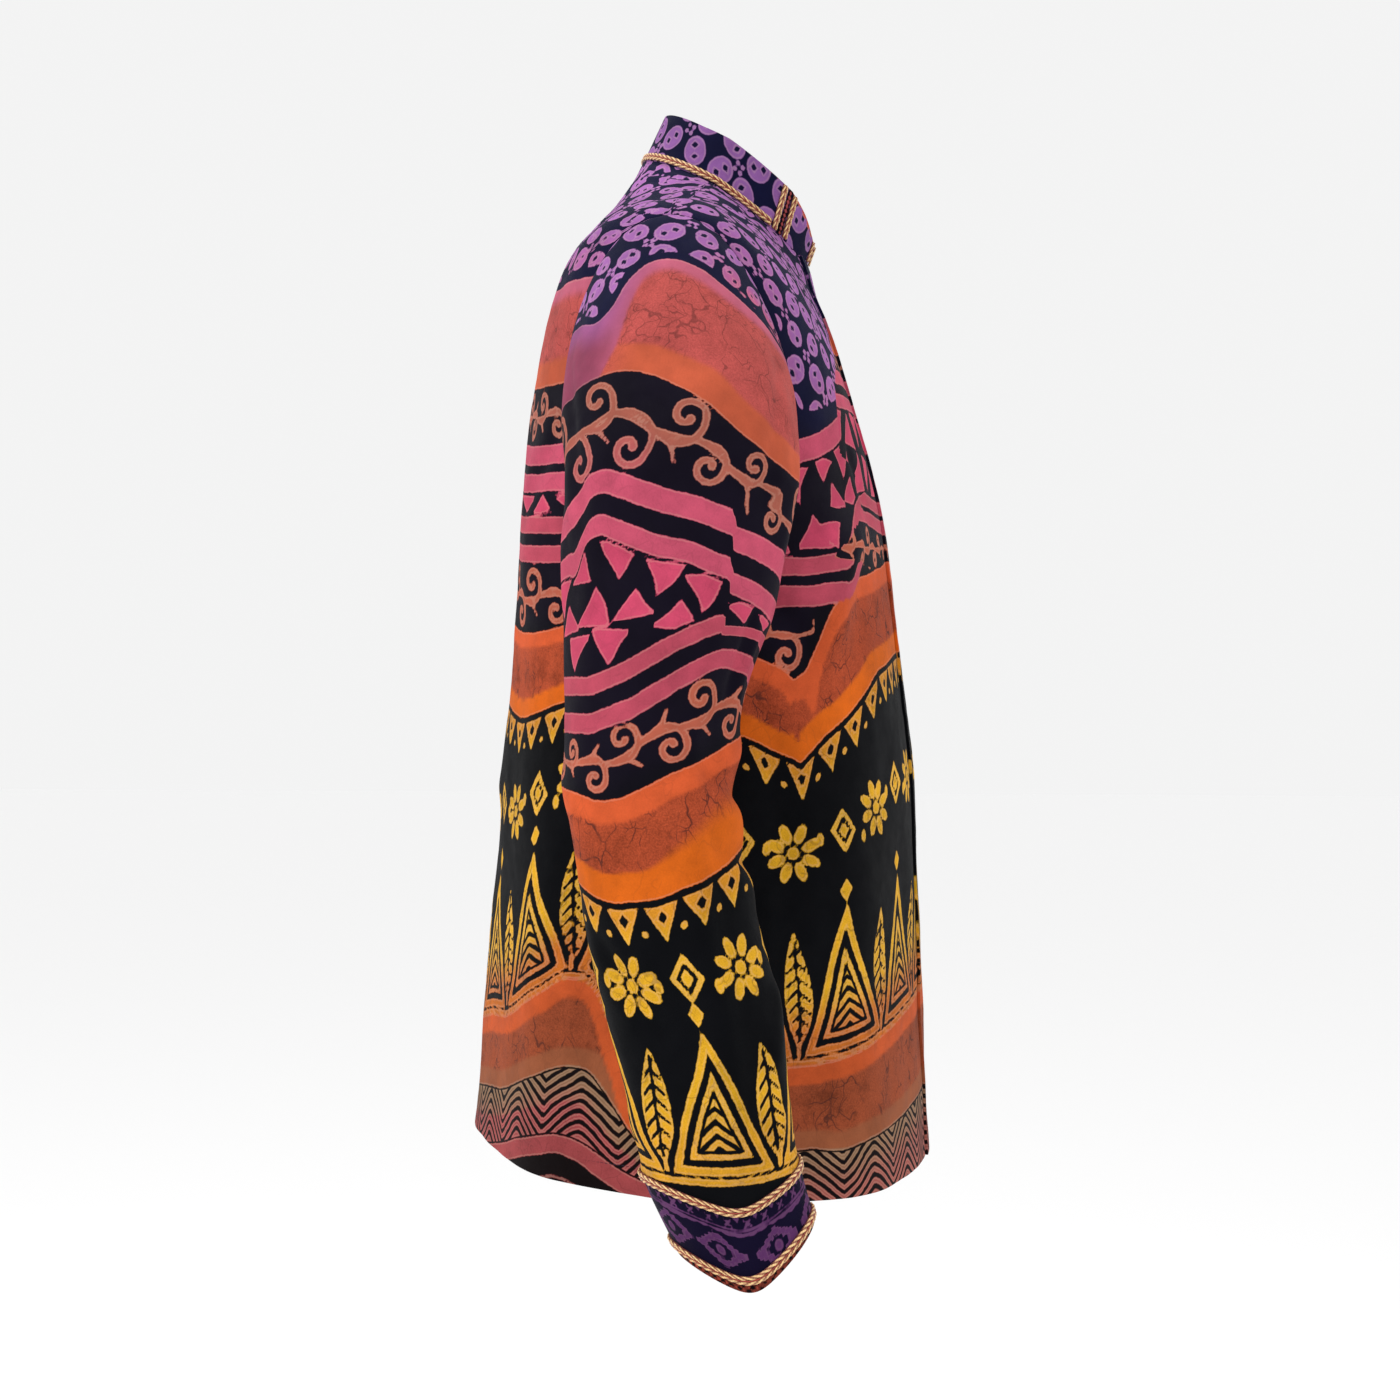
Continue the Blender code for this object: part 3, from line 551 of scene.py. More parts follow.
attributeKinds = {1: ("FLOAT", "value"), 3: ("FLOAT_VECTOR", "vector"), 4: ("FLOAT_COLOR", "color")}


def fillMesh(name, points, groups, attributes, material):
    # groups holds faces of one kind each, with a place on the bake map for every corner
    mesh = bpy.data.meshes.new(name)
    corners = np.concatenate([faces.reshape(-1) for faces, places in groups])
    sizes = np.concatenate([np.full(len(faces), faces.shape[1]) for faces, places in groups])
    starts = np.concatenate([[0], np.cumsum(sizes)[:-1]])
    mesh.vertices.add(len(points))
    mesh.vertices.foreach_set("co", points.astype(np.float32).reshape(-1))
    mesh.loops.add(len(corners))
    mesh.loops.foreach_set("vertex_index", corners.astype(np.int32))
    mesh.polygons.add(len(sizes))
    mesh.polygons.foreach_set("loop_start", starts.astype(np.int32))
    mesh.update(calc_edges=True)
    bakeMap = mesh.uv_layers.new(name="OFBake")
    placed = np.concatenate([places.reshape(-1, 2) for faces, places in groups])
    bakeMap.uv.foreach_set("vector", placed.astype(np.float32).reshape(-1))
    for label, values in attributes.items():
        kind, field = attributeKinds[values[0].size]
        made = mesh.attributes.new(label, kind, "POINT")
        made.data.foreach_set(field, values.astype(np.float32).reshape(-1))
    mesh.materials.append(material)
    mesh.shade_smooth()
    mesh.set_sharp_from_angle(angle=math.radians(50))
    made = bpy.data.objects.new(name, mesh)
    bpy.context.scene.collection.objects.link(made)
    return made


def clothShell(name, outer, inner, attributes, material, closed=False, every=3):
    rows, columns = outer.shape[:2]
    coarse = inner[::every, ::every]
    index = np.arange(rows * columns).reshape(rows, columns)
    inside = rows * columns + np.arange(coarse.shape[0] * coarse.shape[1]).reshape(coarse.shape[:2])
    if closed:
        index = np.concatenate([index, index[:, :1]], axis=1)
        inside = np.concatenate([inside, inside[:, :1]], axis=1)

    # the outer face fills the upper part of the bake map, the inner face a corner, and the rims thin strips
    def mapped(grid, low, high):
        across = np.linspace(low[0], high[0], grid.shape[1])
        up = np.linspace(low[1], high[1], grid.shape[0])
        spots = np.stack(np.meshgrid(across, up), axis=-1).reshape(-1, 2)
        return spots[stripQuads(np.arange(grid.size).reshape(grid.shape))]

    groups = [
        (stripQuads(index), mapped(index, (0.01, 0.30), (0.99, 0.99))),
        (stripQuads(inside)[:, ::-1], mapped(inside, (0.01, 0.02), (0.50, 0.26))[:, ::-1]),
    ]
    borders = [(index[0, ::-1], inside[0, ::-1]), (index[-1], inside[-1])]
    if not closed:
        borders += [(index[:, 0], inside[:, 0]), (index[::-1, -1], inside[::-1, -1])]
    for k, (outerLine, innerLine) in enumerate(borders):
        faces, places = rimFaces(outerLine, innerLine, every)
        low = 0.02 + 0.06 * k
        spots = np.stack([0.52 + 0.47 * places[..., 0], low + 0.03 * places[..., 1]], axis=-1)
        groups.append((faces, spots))
    points = np.concatenate([outer.reshape(-1, 3), coarse.reshape(-1, 3)])
    corner = points[groups[0][0][0]]
    if np.cross(corner[1] - corner[0], corner[2] - corner[0]) @ (outer[0, 0] - inner[0, 0]) < 0:
        groups = [(faces[:, ::-1], places[:, ::-1]) for faces, places in groups]
    spread = {}
    for label, values in attributes.items():
        shape = (-1,) if values.ndim == 2 else (-1, values.shape[-1])
        spread[label] = np.concatenate([values.reshape(shape), values[::every, ::every].reshape(shape)])
    return fillMesh(name, points, groups, spread, material)


# pieces: grids of rings and angles, as each panel is cut
def evenStations(reader, low, high, spacing):
    # places between two others that lie an even distance apart on the cloth
    fine = np.linspace(low, high, 500)
    walked = lengthsAlong(reader(fine), 0, 0) / 1000
    count = round(walked[-1] / spacing)
    return np.interp(np.linspace(0.0, walked[-1], count + 1), walked, fine)


def bodyRings(spacing):
    # rings an even distance apart under and over the armhole, and even turns of it beside it
    below = evenStations(lambda ring: torsoPoint(ring, 60.0), hem, armpit, spacing)[:-1]
    over = evenStations(lambda ring: torsoPoint(ring, 70.0), shoulderTip, neck, spacing)[1:]
    count = round(cloth["armholeWalk"] / spacing)
    while (len(below) + len(over) + count) % 3:
        count += 1
    beside = armholePlace(np.linspace(180.0, 0.0, count + 1))[0]
    return np.concatenate([below, beside, over])


def seamEdge(ring, bulge):
    # how far the panel's side edge lies from the side seam's line beside the armhole, and half the seam's gap
    middle = (armpit + shoulderTip) / 2
    share = np.clip((ring - middle) / ((shoulderTip - armpit) / 2), -1.0, 1.0)
    roundIt = np.linalg.norm(torsoPoint(ring, 90.5) - torsoPoint(ring, 89.5), axis=-1)
    return bulge * np.sqrt(1 - share**2) + cloth["seamGap"] / 2 / roundIt


def angleFor(ring, distance):
    # the angle whose sine times half the width is the distance
    return np.degrees(np.arcsin(distance / smoothRead(torsoRings, torsoColumns, "halfWidth", ring)))


def wallAt(up, edgeAway):
    # the hem and the front edges are folded double
    folded = smoothStep(cloth["hemFold"] + 0.0015, cloth["hemFold"], up)
    folded = np.maximum(folded, smoothStep(cloth["frontFold"] + 0.0015, cloth["frontFold"], edgeAway))
    return cloth["wall"] + cloth["foldExtra"] * folded


def bodyPanel(name, ring, angle, lift, edgeAway, painter, material):
    # the form plus its relief along the normal, and an inner face one wall behind it
    base = torsoPoint(ring, angle)
    normal = torsoNormal(ring, angle)
    up = (torsoPlace(ring, angle)[1] - torsoPlace(np.zeros_like(ring), angle)[1]) / 1000
    proud = lift + bodyRelief(base, ring)
    outer = base + normal * proud[..., None]
    inner = outer - normal * wallAt(up, edgeAway)[..., None]
    return clothShell(name, outer, inner, painter(ring, angle), material)


def makeFront(name, side, painter, material):
    # from the front edge to the side seam; the left front is lifted where it laps over
    ring = bodyRings(cloth["frontSpacing"])[:, None]
    share = np.linspace(0.0, 1.0, cloth["frontColumns"] + 1)
    start = angleFor(ring, cloth["lapOut"] if side > 0 else cloth["lapUnder"])
    end = 90.0 - seamEdge(ring, cloth["armholeFront"])
    angle = side * (-start + (end + start) * share)
    ring = ring + np.zeros_like(angle)
    base = torsoPoint(ring, angle)
    flat = cloth["lapUnder"] + cloth["lapFlat"]
    lap = smoothStep(cloth["lapUnder"] + cloth["lapBlend"], flat, base[..., 0])
    lift = cloth["lapLift"] * lap if side > 0 else np.zeros_like(angle)
    edge = cloth["lapOut"] if side > 0 else cloth["lapUnder"]
    return bodyPanel(name, ring, angle, lift, side * base[..., 0] + edge, painter, material)


def makeBack(name, painter, material):
    # from side seam to side seam, in shares of the way from the middle of the back
    ring = bodyRings(cloth["backSpacing"])[:, None]
    share = np.linspace(-1.0, 1.0, cloth["backColumns"] + 1)
    angle = 180.0 + (90.0 - seamEdge(ring, cloth["armholeBack"])) * share
    ring = ring + np.zeros_like(angle)
    return bodyPanel(name, ring, angle, np.zeros_like(angle), np.ones_like(angle), painter, material)


def sideways(points, side):
    # as they are for the left side, mirrored for the right
    return points * np.array([side, 1.0, 1.0])


def makeSleeve(name, side, painter, material):
    def outerLine(station):
        # the line down the sleeve's outer side
        return sleevePoint(station, 0.0, side)

    cap = evenStations(outerLine, 0.0, 1.0, cloth["sleeveSpacing"])
    tube = evenStations(outerLine, 1.0, sleeveShape["cuffSeam"], cloth["sleeveSpacing"])[1:]
    while (len(cap) + len(tube) - 1) % 3:
        tube = np.insert(tube, 0, (cap[-1] + tube[0]) / 2)
    station = np.concatenate([cap, tube])[:, None]
    turn = np.arange(cloth["sleeveColumns"])[None, :] * 360.0 / cloth["sleeveColumns"]
    station, turn = together(station, turn)
    base = sleevePoint(station, turn, side)
    normal = sleeveNormal(station, turn, side)
    outer = base + normal * sleeveRelief(base, station, side)[..., None]

    # at the armhole the wall's edge leans half way to the body's wall, and stands off it by the seam's gap
    ring, angle = armholePlace(turn[0])
    bodyNormal = torsoNormal(ring, angle)
    edge = torsoPoint(*armholePlace(turn[0] + 1.0)) - torsoPoint(*armholePlace(turn[0] - 1.0))
    across = unit(np.cross(edge, bodyNormal))
    across = across * np.sign(across[:, :1] + 1e-9)
    foot = turned(turn[0])[0] < -0.5
    across[foot] = unit(torsoPoint(ring[foot] + 0.02, angle[foot]) - torsoPoint(ring[foot], angle[foot]))
    mitre = unit(bodyNormal + normal[0])
    stretch = 1.0 / np.maximum((mitre * normal[0]).sum(axis=-1, keepdims=True), 0.7)
    lean = smoothStep(0.06, 0.0, station)[..., None]
    inward = normal * (1 - lean) + (mitre * stretch)[None] * lean
    outer = outer + (across * cloth["seamGap"])[None] * smoothStep(0.03, 0.0, station)[..., None]
    inner = outer - inward * cloth["wall"]
    paints = painter(station, turn)
    return clothShell(name, sideways(outer, side), sideways(inner, side), paints, material, closed=True)


cuffShares = {
    "cloth": (0.006, 0.865),
    "edge": (0.872, 1.000),
    "topBraid": (-0.055, 0.052),
    "lowBraid": (0.795, 0.905),
}


def makeCuffBand(name, side, shares, rows, painter, material):
    # the sleeve's form between two shares of the cuff's height
    start, end = sleeveShape["cuffSeam"], sleeveShape["cuffEnd"]
    station = start + (end - start) * np.linspace(*shares, rows + 1)[:, None]
    turn = np.arange(cloth["cuffColumns"])[None, :] * 360.0 / cloth["cuffColumns"]
    station, turn = together(station, turn)
    base = sleevePoint(station, turn, side)
    inner = base - sleeveNormal(station, turn, side) * cloth["cuffWall"]
    paints = painter(station, turn)
    return clothShell(name, sideways(base, side), sideways(inner, side), paints, material, closed=True)


collarColumns = ("angle", "height", "leanFront", "leanIn")
collarRows = (
    (0.0, 0.0175, 0.36, 0.00),
    (14.0, 0.0215, 0.34, 0.02),
    (28.0, 0.0290, 0.30, 0.04),
    (43.0, 0.0350, 0.28, 0.05),
    (70.0, 0.0360, 0.28, 0.06),
    (110.0, 0.0360, 0.36, 0.06),
    (150.0, 0.0380, 0.46, 0.03),
    (180.0, 0.0390, 0.50, 0.00),
)
collarSizes = {
    "end": 3.5,
    "braidAngles": (40.0, 49.0),
    "endBraid": 5.8,
    "uprightWidth": 0.0050,
    "endWidth": 0.0045,
    "stripWidth": 0.0040,
    "stripOuter": 0.0011,
    "stripInner": 0.0004,
    "seamClear": 3.2,
    "seamFoot": 0.0008,
    "seamWidth": 0.0055,
    "uprightFoot": 0.0012,
    "belowTop": 0.0006,
}


def collarRead(column, angle):
    # a column of the collar's table, the same on both sides
    values = [row[collarColumns.index(column)] for row in collarRows]
    return np.interp(np.abs(around(angle)), [row[0] for row in collarRows], values)


def collarPoint(angle, height):
    # the neck's ring plus the height times the unit vector of a leaning line
    angle, height = together(angle, height)
    base = torsoPoint(np.full(angle.shape, neck), angle)
    leanIn = -turned(angle)[1] * collarRead("leanIn", angle)
    lean = np.stack([leanIn, -collarRead("leanFront", angle), np.ones(angle.shape)], axis=-1)
    return base + unit(lean) * height[..., None]


def collarNormal(angle, height):
    # the cross product of a step round the collar and a step up it
    roundIt = collarPoint(angle + 0.5, height) - collarPoint(angle - 0.5, height)
    up = collarPoint(angle, height + 0.002) - collarPoint(angle, height)
    return unit(np.cross(roundIt, up))


def makeCollar(name, painter, material):
    # from one front end round the back to the other, in even shares of its height
    angle = np.linspace(collarSizes["end"], 360.0 - collarSizes["end"], cloth["collarColumns"] + 1)[None, :]
    low, high = cloth["seamGap"], collarRead("height", angle)
    height = low + (high - low) * np.linspace(0.0, 1.0, cloth["collarRows"] + 1)[:, None]
    angle = angle + np.zeros_like(height)
    outer = collarPoint(angle, height)
    normal = collarNormal(angle, height)
    inner = outer - normal * cloth["collarWall"]
    return clothShell(name, outer, inner, painter(angle, height), material, every=1)


# braids: two twisted cords side by side on a flat tape, with a thin red cord between them
braid = {
    "width": 0.0055,
    "cordRadius": 0.00112,
    "cordOffset": 0.00148,
    "cordLift": 0.00125,
    "lobe": 0.22,
    "pitch": 0.0054,
    "sides": 8,
    "step": 0.0006,
    "redRadius": 0.00046,
    "redLift": 0.00165,
    "redSides": 5,
    "tapeFoot": 0.0002,
    "tapeTop": 0.0008,
    "gold": (0.900, 0.500, 0.130),
    "cream": (0.990, 0.760, 0.420),
    # a dark colour painted into the grooves between a cord's twists: painted shade
    "paintedGrooveShade": (0.240, 0.050, 0.025),
    "red": (0.330, 0.030, 0.018),
    "tape": (0.150, 0.022, 0.020),
}


def sweepSection(path, across, normal, section, closedPath):
    # each section's points are carried to their place on the path; an open path gets a fan at both ends
    count, sides = section.shape[:2]
    points = path[:, None] + across[:, None] * section[..., :1] + normal[:, None] * section[..., 1:]
    index = np.arange(count * sides).reshape(count, sides)
    grid = np.concatenate([index, index[:, :1]], axis=1)
    if closedPath:
        grid = np.concatenate([grid, grid[:1]], axis=0)
    quads = stripQuads(grid)
    points = points.reshape(-1, 3)
    caps = np.zeros((0, 3), int)
    if not closedPath:
        ends = np.stack([points[:sides].mean(axis=0), points[-sides:].mean(axis=0)])
        first, last = grid[0], grid[-1]
        start = np.stack([first[1:], first[:-1], np.full(sides, len(points))], axis=-1)
        finish = np.stack([last[:-1], last[1:], np.full(sides, len(points) + 1)], axis=-1)
        points = np.concatenate([points, ends])
        caps = np.concatenate([start, finish])
    a, b, c = points[quads[:, 0]], points[quads[:, 1]], points[quads[:, 2]]
    middle = np.repeat(path, sides, axis=0)[: len(quads)]
    if (np.cross(b - a, c - a) * (a - middle)).sum() < 0:
        quads, caps = quads[:, ::-1], caps[:, ::-1]
    return points, quads, caps


def makeBraid(name, path, across, normal, width, closedPath, material):
    # the cord's section has two lobes that turn with the distance walked: its radius is the plain radius
    # times (1 + lobe cos 2(turn - twist))
    ends = np.concatenate([path, path[:1]]) if closedPath else path
    walked = np.insert(np.cumsum(np.linalg.norm(np.diff(ends, axis=0), axis=-1)), 0, 0.0)
    total = walked[-1]
    walked = walked[: len(path)]
    turns = max(1, round(total / braid["pitch"]))
    turn = np.arange(braid["sides"]) * 2 * math.pi / braid["sides"]
    share = width / braid["width"]
    pointSets, quadSets, capSets, colourSets = [], [], [], []

    def addSweep(section, colours):
        # one more cord or tape; colours has a row for each point of its section
        points, quads, caps = sweepSection(path, across, normal, section, closedPath)
        before = sum(len(found) for found in pointSets)
        pointSets.append(points)
        quadSets.append(quads + before)
        capSets.append(caps + before)
        flat = colours.reshape(-1, 3)
        extra = len(points) - len(flat)
        flat = np.concatenate([flat, np.tile(flat[:1], (extra, 1))])
        colourSets.append(np.concatenate([flat, np.ones((len(flat), 1))], axis=1))

    for side in (-1, 1):
        twist = side * walked / total * turns * math.pi
        lobes = np.cos(2 * (turn[None, :] - twist[:, None]))
        radius = braid["cordRadius"] * share * (1 + braid["lobe"] * lobes) * 0.92
        if not closedPath:
            ending = smoothStep(0.0, 0.0012, np.minimum(walked, total - walked))
            radius = radius * (0.35 + 0.65 * ending)[:, None]
        section = np.stack([
            side * braid["cordOffset"] * share + radius * np.cos(turn),
            braid["cordLift"] + radius * np.sin(turn) * 0.85,
        ], axis=-1)
        # the bulges of each twist get the thread's colour, and the grooves between them a darker colour:
        # painted shade in the grooves
        bright = smoothStep(-0.55, 0.35, lobes)[..., None]
        thread = np.array(braid["gold"]) * 0.5 + np.array(braid["cream"]) * 0.5
        addSweep(section, np.array(braid["paintedGrooveShade"]) * (1 - bright) + thread * bright)
    radius = braid["redRadius"] * share
    turn = np.arange(braid["redSides"]) * 2 * math.pi / braid["redSides"]
    section = np.stack([radius * np.cos(turn), braid["redLift"] + radius * np.sin(turn)], axis=-1)
    addSweep(np.tile(section, (len(path), 1, 1)), np.tile(braid["red"], (len(path), len(turn), 1)))
    half = width / 2
    foot, top = braid["tapeFoot"], braid["tapeTop"]
    section = np.array([(-half, foot), (half, foot), (half, top), (-half, top)])
    addSweep(np.tile(section, (len(path), 1, 1)), np.tile(braid["tape"], (len(path), 4, 1)))

    points, quads, caps = (np.concatenate(found) for found in (pointSets, quadSets, capSets))
    # on the bake map each face has a cell of its own, in rows of 300
    inRow = 300
    rows = math.ceil(len(quads) / inRow + 1)
    order = np.arange(len(quads))
    corner = np.stack([order % inRow / inRow, order // inRow / rows], axis=-1)
    cell = np.array([(0.0, 0.0), (1.0, 0.0), (1.0, 1.0), (0.0, 1.0)]) * (0.8 / inRow, 0.8 / rows)
    groups = [(quads, (corner[:, None] + cell) * 0.96 + 0.01)]
    if len(caps):
        edge = np.arange(len(caps)) / len(caps)
        low = np.stack([edge, np.full(len(caps), 0.98)], axis=-1)
        fan = np.stack([low, low + [0.5 / len(caps), 0.0], low + [0.0, 0.015]], axis=1)
        groups.append((caps, fan))
    return fillMesh(name, points, groups, {"threadColourAndShade": np.concatenate(colourSets)}, material)


def evenPath(reader, low, high, step):
    # the path and its two directions at places an even distance apart
    places = evenStations(lambda place: reader(place)[0], low, high, step)
    return reader(places)


def makeCuffBraid(name, side, shares, material):
    # a closed path round the cuff, half way between the two shares
    start, end = sleeveShape["cuffSeam"], sleeveShape["cuffEnd"]
    station = start + (end - start) * sum(shares) / 2

    def reader(turn):
        base = sleevePoint(np.full(turn.shape, station), turn, side)
        down = sleevePoint(np.full(turn.shape, station + 0.01), turn, side) - base
        return base, unit(down), sleeveNormal(np.full(turn.shape, station), turn, side)

    path, across, normal = (found[:-1] for found in evenPath(reader, 0.0, 360.0, braid["step"]))
    path, across, normal = (sideways(found, side) for found in (path, across, normal))
    return makeBraid(name, path, across, normal, braid["width"], True, material)


def makeSeamBraid(name, material):
    # an open path round the collar's foot, between the upright braids
    height = collarSizes["seamFoot"] + collarSizes["seamWidth"] / 2
    start = collarSizes["braidAngles"][1] + collarSizes["seamClear"]

    def reader(angle):
        base = collarPoint(angle, height)
        return base, unit(collarPoint(angle, height + 0.001) - base), collarNormal(angle, height)

    path, across, normal = evenPath(reader, start, 360.0 - start, braid["step"])
    return makeBraid(name, path, across, normal, collarSizes["seamWidth"], False, material)


def makeUprightBraid(name, angle, foot, width, material):
    # an open path straight up the collar
    top = float(collarRead("height", np.array(angle))) - collarSizes["belowTop"]

    def reader(height):
        base = collarPoint(np.full(height.shape, angle), height)
        roundIt = collarPoint(np.full(height.shape, angle + 0.5), height) - base
        return base, unit(roundIt), collarNormal(np.full(height.shape, angle), height)

    path, across, normal = evenPath(reader, foot, top, braid["step"])
    return makeBraid(name, path, across, normal, width, False, material)


def makeCollarStrip(name, side, painter, material):
    # a narrow grid of the collar's form between the two upright braids
    centre = sum(collarSizes["braidAngles"]) / 2
    radius = np.linalg.norm(collarPoint(centre + 1.0, 0.01) - collarPoint(centre - 1.0, 0.01)) / 2
    half = collarSizes["stripWidth"] / 2 / radius
    angle = side * np.linspace(centre - half, centre + half, cloth["stripColumns"] + 1)[None, :]
    foot, top = collarSizes["uprightFoot"], collarRead("height", angle) - collarSizes["belowTop"]
    height = foot + (top - foot) * np.linspace(0.0, 1.0, cloth["stripRows"] + 1)[:, None]
    angle = angle + np.zeros_like(height)
    normal = collarNormal(angle, height)
    base = collarPoint(angle, height)
    outer, inner = (base + normal * collarSizes[face] for face in ("stripOuter", "stripInner"))
    return clothShell(name, outer, inner, painter(angle, height), material)


# the print, in millimetres: each shape is a distance to its edge, above zero inside it
inks = {
    "navy": (17, 18, 50),
    "dusk": (18, 13, 27),
    "night": (8, 9, 13),
    "earth": (16, 8, 10),
    "violet": (168, 106, 176),
    "collarViolet": (150, 98, 166),
    "pinkOval": (200, 92, 126),
    "waveOneTop": (196, 98, 122),
    "waveOneViolet": (147, 67, 93),
    "waveOneMiddle": (192, 85, 80),
    "waveOneLow": (200, 93, 64),
    "scroll": (176, 98, 82),
    "stripe": (203, 84, 110),
    "triangle": (210, 76, 108),
    "stripeLow": (192, 78, 98),
    "waveTwoTop": (214, 92, 50),
    "waveTwoMiddle": (176, 76, 46),
    "waveTwoLow": (222, 104, 26),
    "yellow": (232, 174, 40),
    "amber": (204, 112, 42),
    "hemWaveTop": (204, 90, 46),
    "hemWaveMiddle": (157, 76, 47),
    "hemWaveLow": (154, 88, 58),
    "chevron": (164, 88, 80),
    "chevronLow": (142, 108, 80),
    "hemBand": (162, 72, 74),
    "rust": (120, 54, 42),
    "terracotta": (196, 84, 66),
    "ikatViolet": (92, 50, 98),
    "cuffNavy": (14, 8, 36),
}


def inkOf(name):
    # from screen values to linear light; the cloth gives back a little less than it seems to in bright light
    share = np.array(inks[name]) / 255
    return 0.86 * np.where(share <= 0.04045, share / 12.92, ((share + 0.055) / 1.055) ** 2.4)


bandColumns = (
    "across", "waveOneTop", "waveOneFoot", "upperStripes", "lowerStripes",
    "waveTwoTop", "waveTwoFoot", "hemWaveTop", "hemWaveFoot", "hemBand",
)
sleeveRows = (
    (-195, -148, -206, -288, -374, -436, -492),
    (-140, -128, -194, -280, -372, -436, -493),
    (-100, -122, -190, -271, -371, -437, -495),
    (-75, -126, -185, -262, -371, -439, -499),
    (-52, -133, -180, -246, -371, -441, -503),
    (-40, -124, -178, -244, -371, -443, -507),
    (-28, -104, -178, -247, -367, -446, -509),
    (-14, -91, -181, -252, -361, -445, -508),
    (0, -88, -188, -257, -353, -440, -507),
    (20, -96, -201, -262, -342, -431, -501),
    (42, -109, -221, -270, -334, -424, -494),
    (65, -119, -235, -277, -336, -416, -487),
    (90, -126, -246, -285, -344, -412, -483),
    (130, -133, -252, -296, -360, -418, -488),
    (195, -150, -240, -302, -372, -432, -496),
)
# a sleeve ends above the hem's bands
sleeveBands = tuple(row + (-900, -950, -990) for row in sleeveRows)
rightBands = (
    (-330, -84, -170, -234, -300, -330, -396, -640, -690, -990),
    (-280, -92, -180, -230, -300, -340, -403, -640, -692, -990),
    (-240, -108, -183, -221, -296, -353, -411, -635, -690, -990),
    (-222, -130, -187, -216, -291, -360, -420, -631, -687, -990),
    (-210, -156, -190, -213, -289, -366, -425, -631, -687, -990),
    (-204, -172, -192, -212, -289, -371, -428, -631, -687, -990),
    (-200, -182, -193, -211, -289, -369, -425, -631, -688, -990),
    (-194, -191, -194, -209, -289, -364, -420, -630, -689, -990),
    (-181, -194, -194.5, -205, -287, -332, -410, -629, -690, -990),
    (-161, -190, -190.5, -197, -282, -311, -398, -625, -687, -990),
    (-140, -182, -182.5, -187, -262, -302, -384, -621, -685, -990),
    (-115, -172, -172.5, -178, -243, -297, -367, -617, -683, -990),
    (-90, -166, -166.5, -170, -236, -292, -360, -613, -681, -990),
    (-40, -160, -160.5, -164, -236, -283, -351, -607, -676, -990),
    (30, -156, -156.5, -160, -238, -282, -352, -600, -668, -990),
)
leftBands = (
    (-130, -97, -127, -149, -234, -298, -372, -618, -684, -990),
    (-93, -95, -124, -145, -234, -293, -361, -614, -681, -990),
    (-60, -92, -122, -143, -236, -287, -356, -610, -678, -990),
    (-26, -88, -120, -141, -236, -281, -350, -605, -675, -990),
    (20, -80, -120, -143, -238, -283, -352, -600, -668, -990),
    (60, -84, -140, -168, -246, -296, -366, -585, -655, -990),
    (100, -100, -165, -192, -262, -318, -392, -575, -640, -990),
    (140, -113, -185, -212, -282, -344, -416, -580, -640, -990),
    (180, -108, -190, -222, -296, -364, -430, -600, -655, -990),
    (220, -98, -182, -218, -300, -366, -428, -625, -680, -990),
    (270, -92, -172, -212, -292, -352, -412, -640, -690, -990),
    (330, -95, -170, -210, -285, -340, -400, -630, -684, -990),
)
backBands = (
    (-310, -95, -165, -205, -255, -330, -388, -650, -674, -700),
    (-240, -90, -160, -200, -262, -340, -398, -600, -652, -688),
    (-180, -100, -166, -206, -272, -352, -410, -580, -638, -680),
    (-120, -112, -178, -218, -270, -350, -406, -595, -650, -700),
    (-60, -104, -172, -212, -258, -336, -394, -620, -672, -708),
    (0, -90, -160, -200, -248, -326, -384, -630, -680, -712),
    (57, -84, -152, -194, -246, -324, -384, -624, -674, -712),
    (100, -88, -158, -199, -250, -330, -390, -615, -667, -709),
    (147, -95, -165, -206, -256, -338, -398, -608, -660, -699),
    (195, -98, -168, -209, -259, -334, -389, -586, -642, -684),
    (222, -100, -170, -212, -258, -327, -382, -573, -633, -679),
    (240, -101, -171, -214, -257, -324, -380, -580, -636, -684),
    (255, -102, -172, -215, -256, -322, -378, -608, -652, -692),
    (275, -103, -173, -217, -254, -320, -376, -652, -676, -702),
    (310, -105, -175, -220, -252, -318, -374, -662, -686, -708),
)


def throughPoints(across, table, column):
    # a cubic through the table's rows, whose slopes come from the neighbouring rows
    places = np.array([row[0] for row in table], float)
    values = np.array([row[bandColumns.index(column)] for row in table], float)
    slopes = np.gradient(values, places)
    k = np.clip(np.searchsorted(places, across) - 1, 0, len(places) - 2)
    gap = places[k + 1] - places[k]
    t = np.clip((across - places[k]) / gap, 0.0, 1.0)
    return cubicBlend(t, values[k], gap * slopes[k], values[k + 1], gap * slopes[k + 1])


def scatter(i, j, seed):
    # a number from 0 to 1 that looks random and is always the same for the same place
    return np.mod(np.sin(i * 127.1 + j * 311.7 + seed * 74.7) * 43758.5453, 1.0)


# farther than any edge that shows
farOff = 99.0


def noEdge(shape):
    # a distance that lies outside every shape
    return np.full(shape, -farOff)


def ovalEdge(x, y, wide, tall):
    # one less the distance in shares of the half axes, times the shorter of them
    return (1 - np.hypot(x / wide, y / tall)) * min(wide, tall)


def lozengeEdge(x, y, wide, tall):
    # one less the sum of the shares of the half axes, made a true distance
    return (1 - np.abs(x) / wide - np.abs(y) / tall) * wide * tall / math.hypot(wide, tall)


def triangleEdge(x, y, half, height):
    # a triangle that stands on y = 0, with its tip at y = height
    return np.minimum(y, ((half - np.abs(x)) * height - y * half) / math.hypot(half, height))


def bandEdge(away, start, width):
    # how far inside the nearer of a band's two sides
    return np.minimum(away - start, start + width - away)


kawung = {
    "pitch": 35.0, "turn": 0.60, "wide": 10.3, "tall": 8.8, "eye": 4.3, "eyeWide": 2.3, "eyeTall": 3.0,
    "dotAway": 3.4, "dotRadius": 1.9, "stray": 2.6,
}


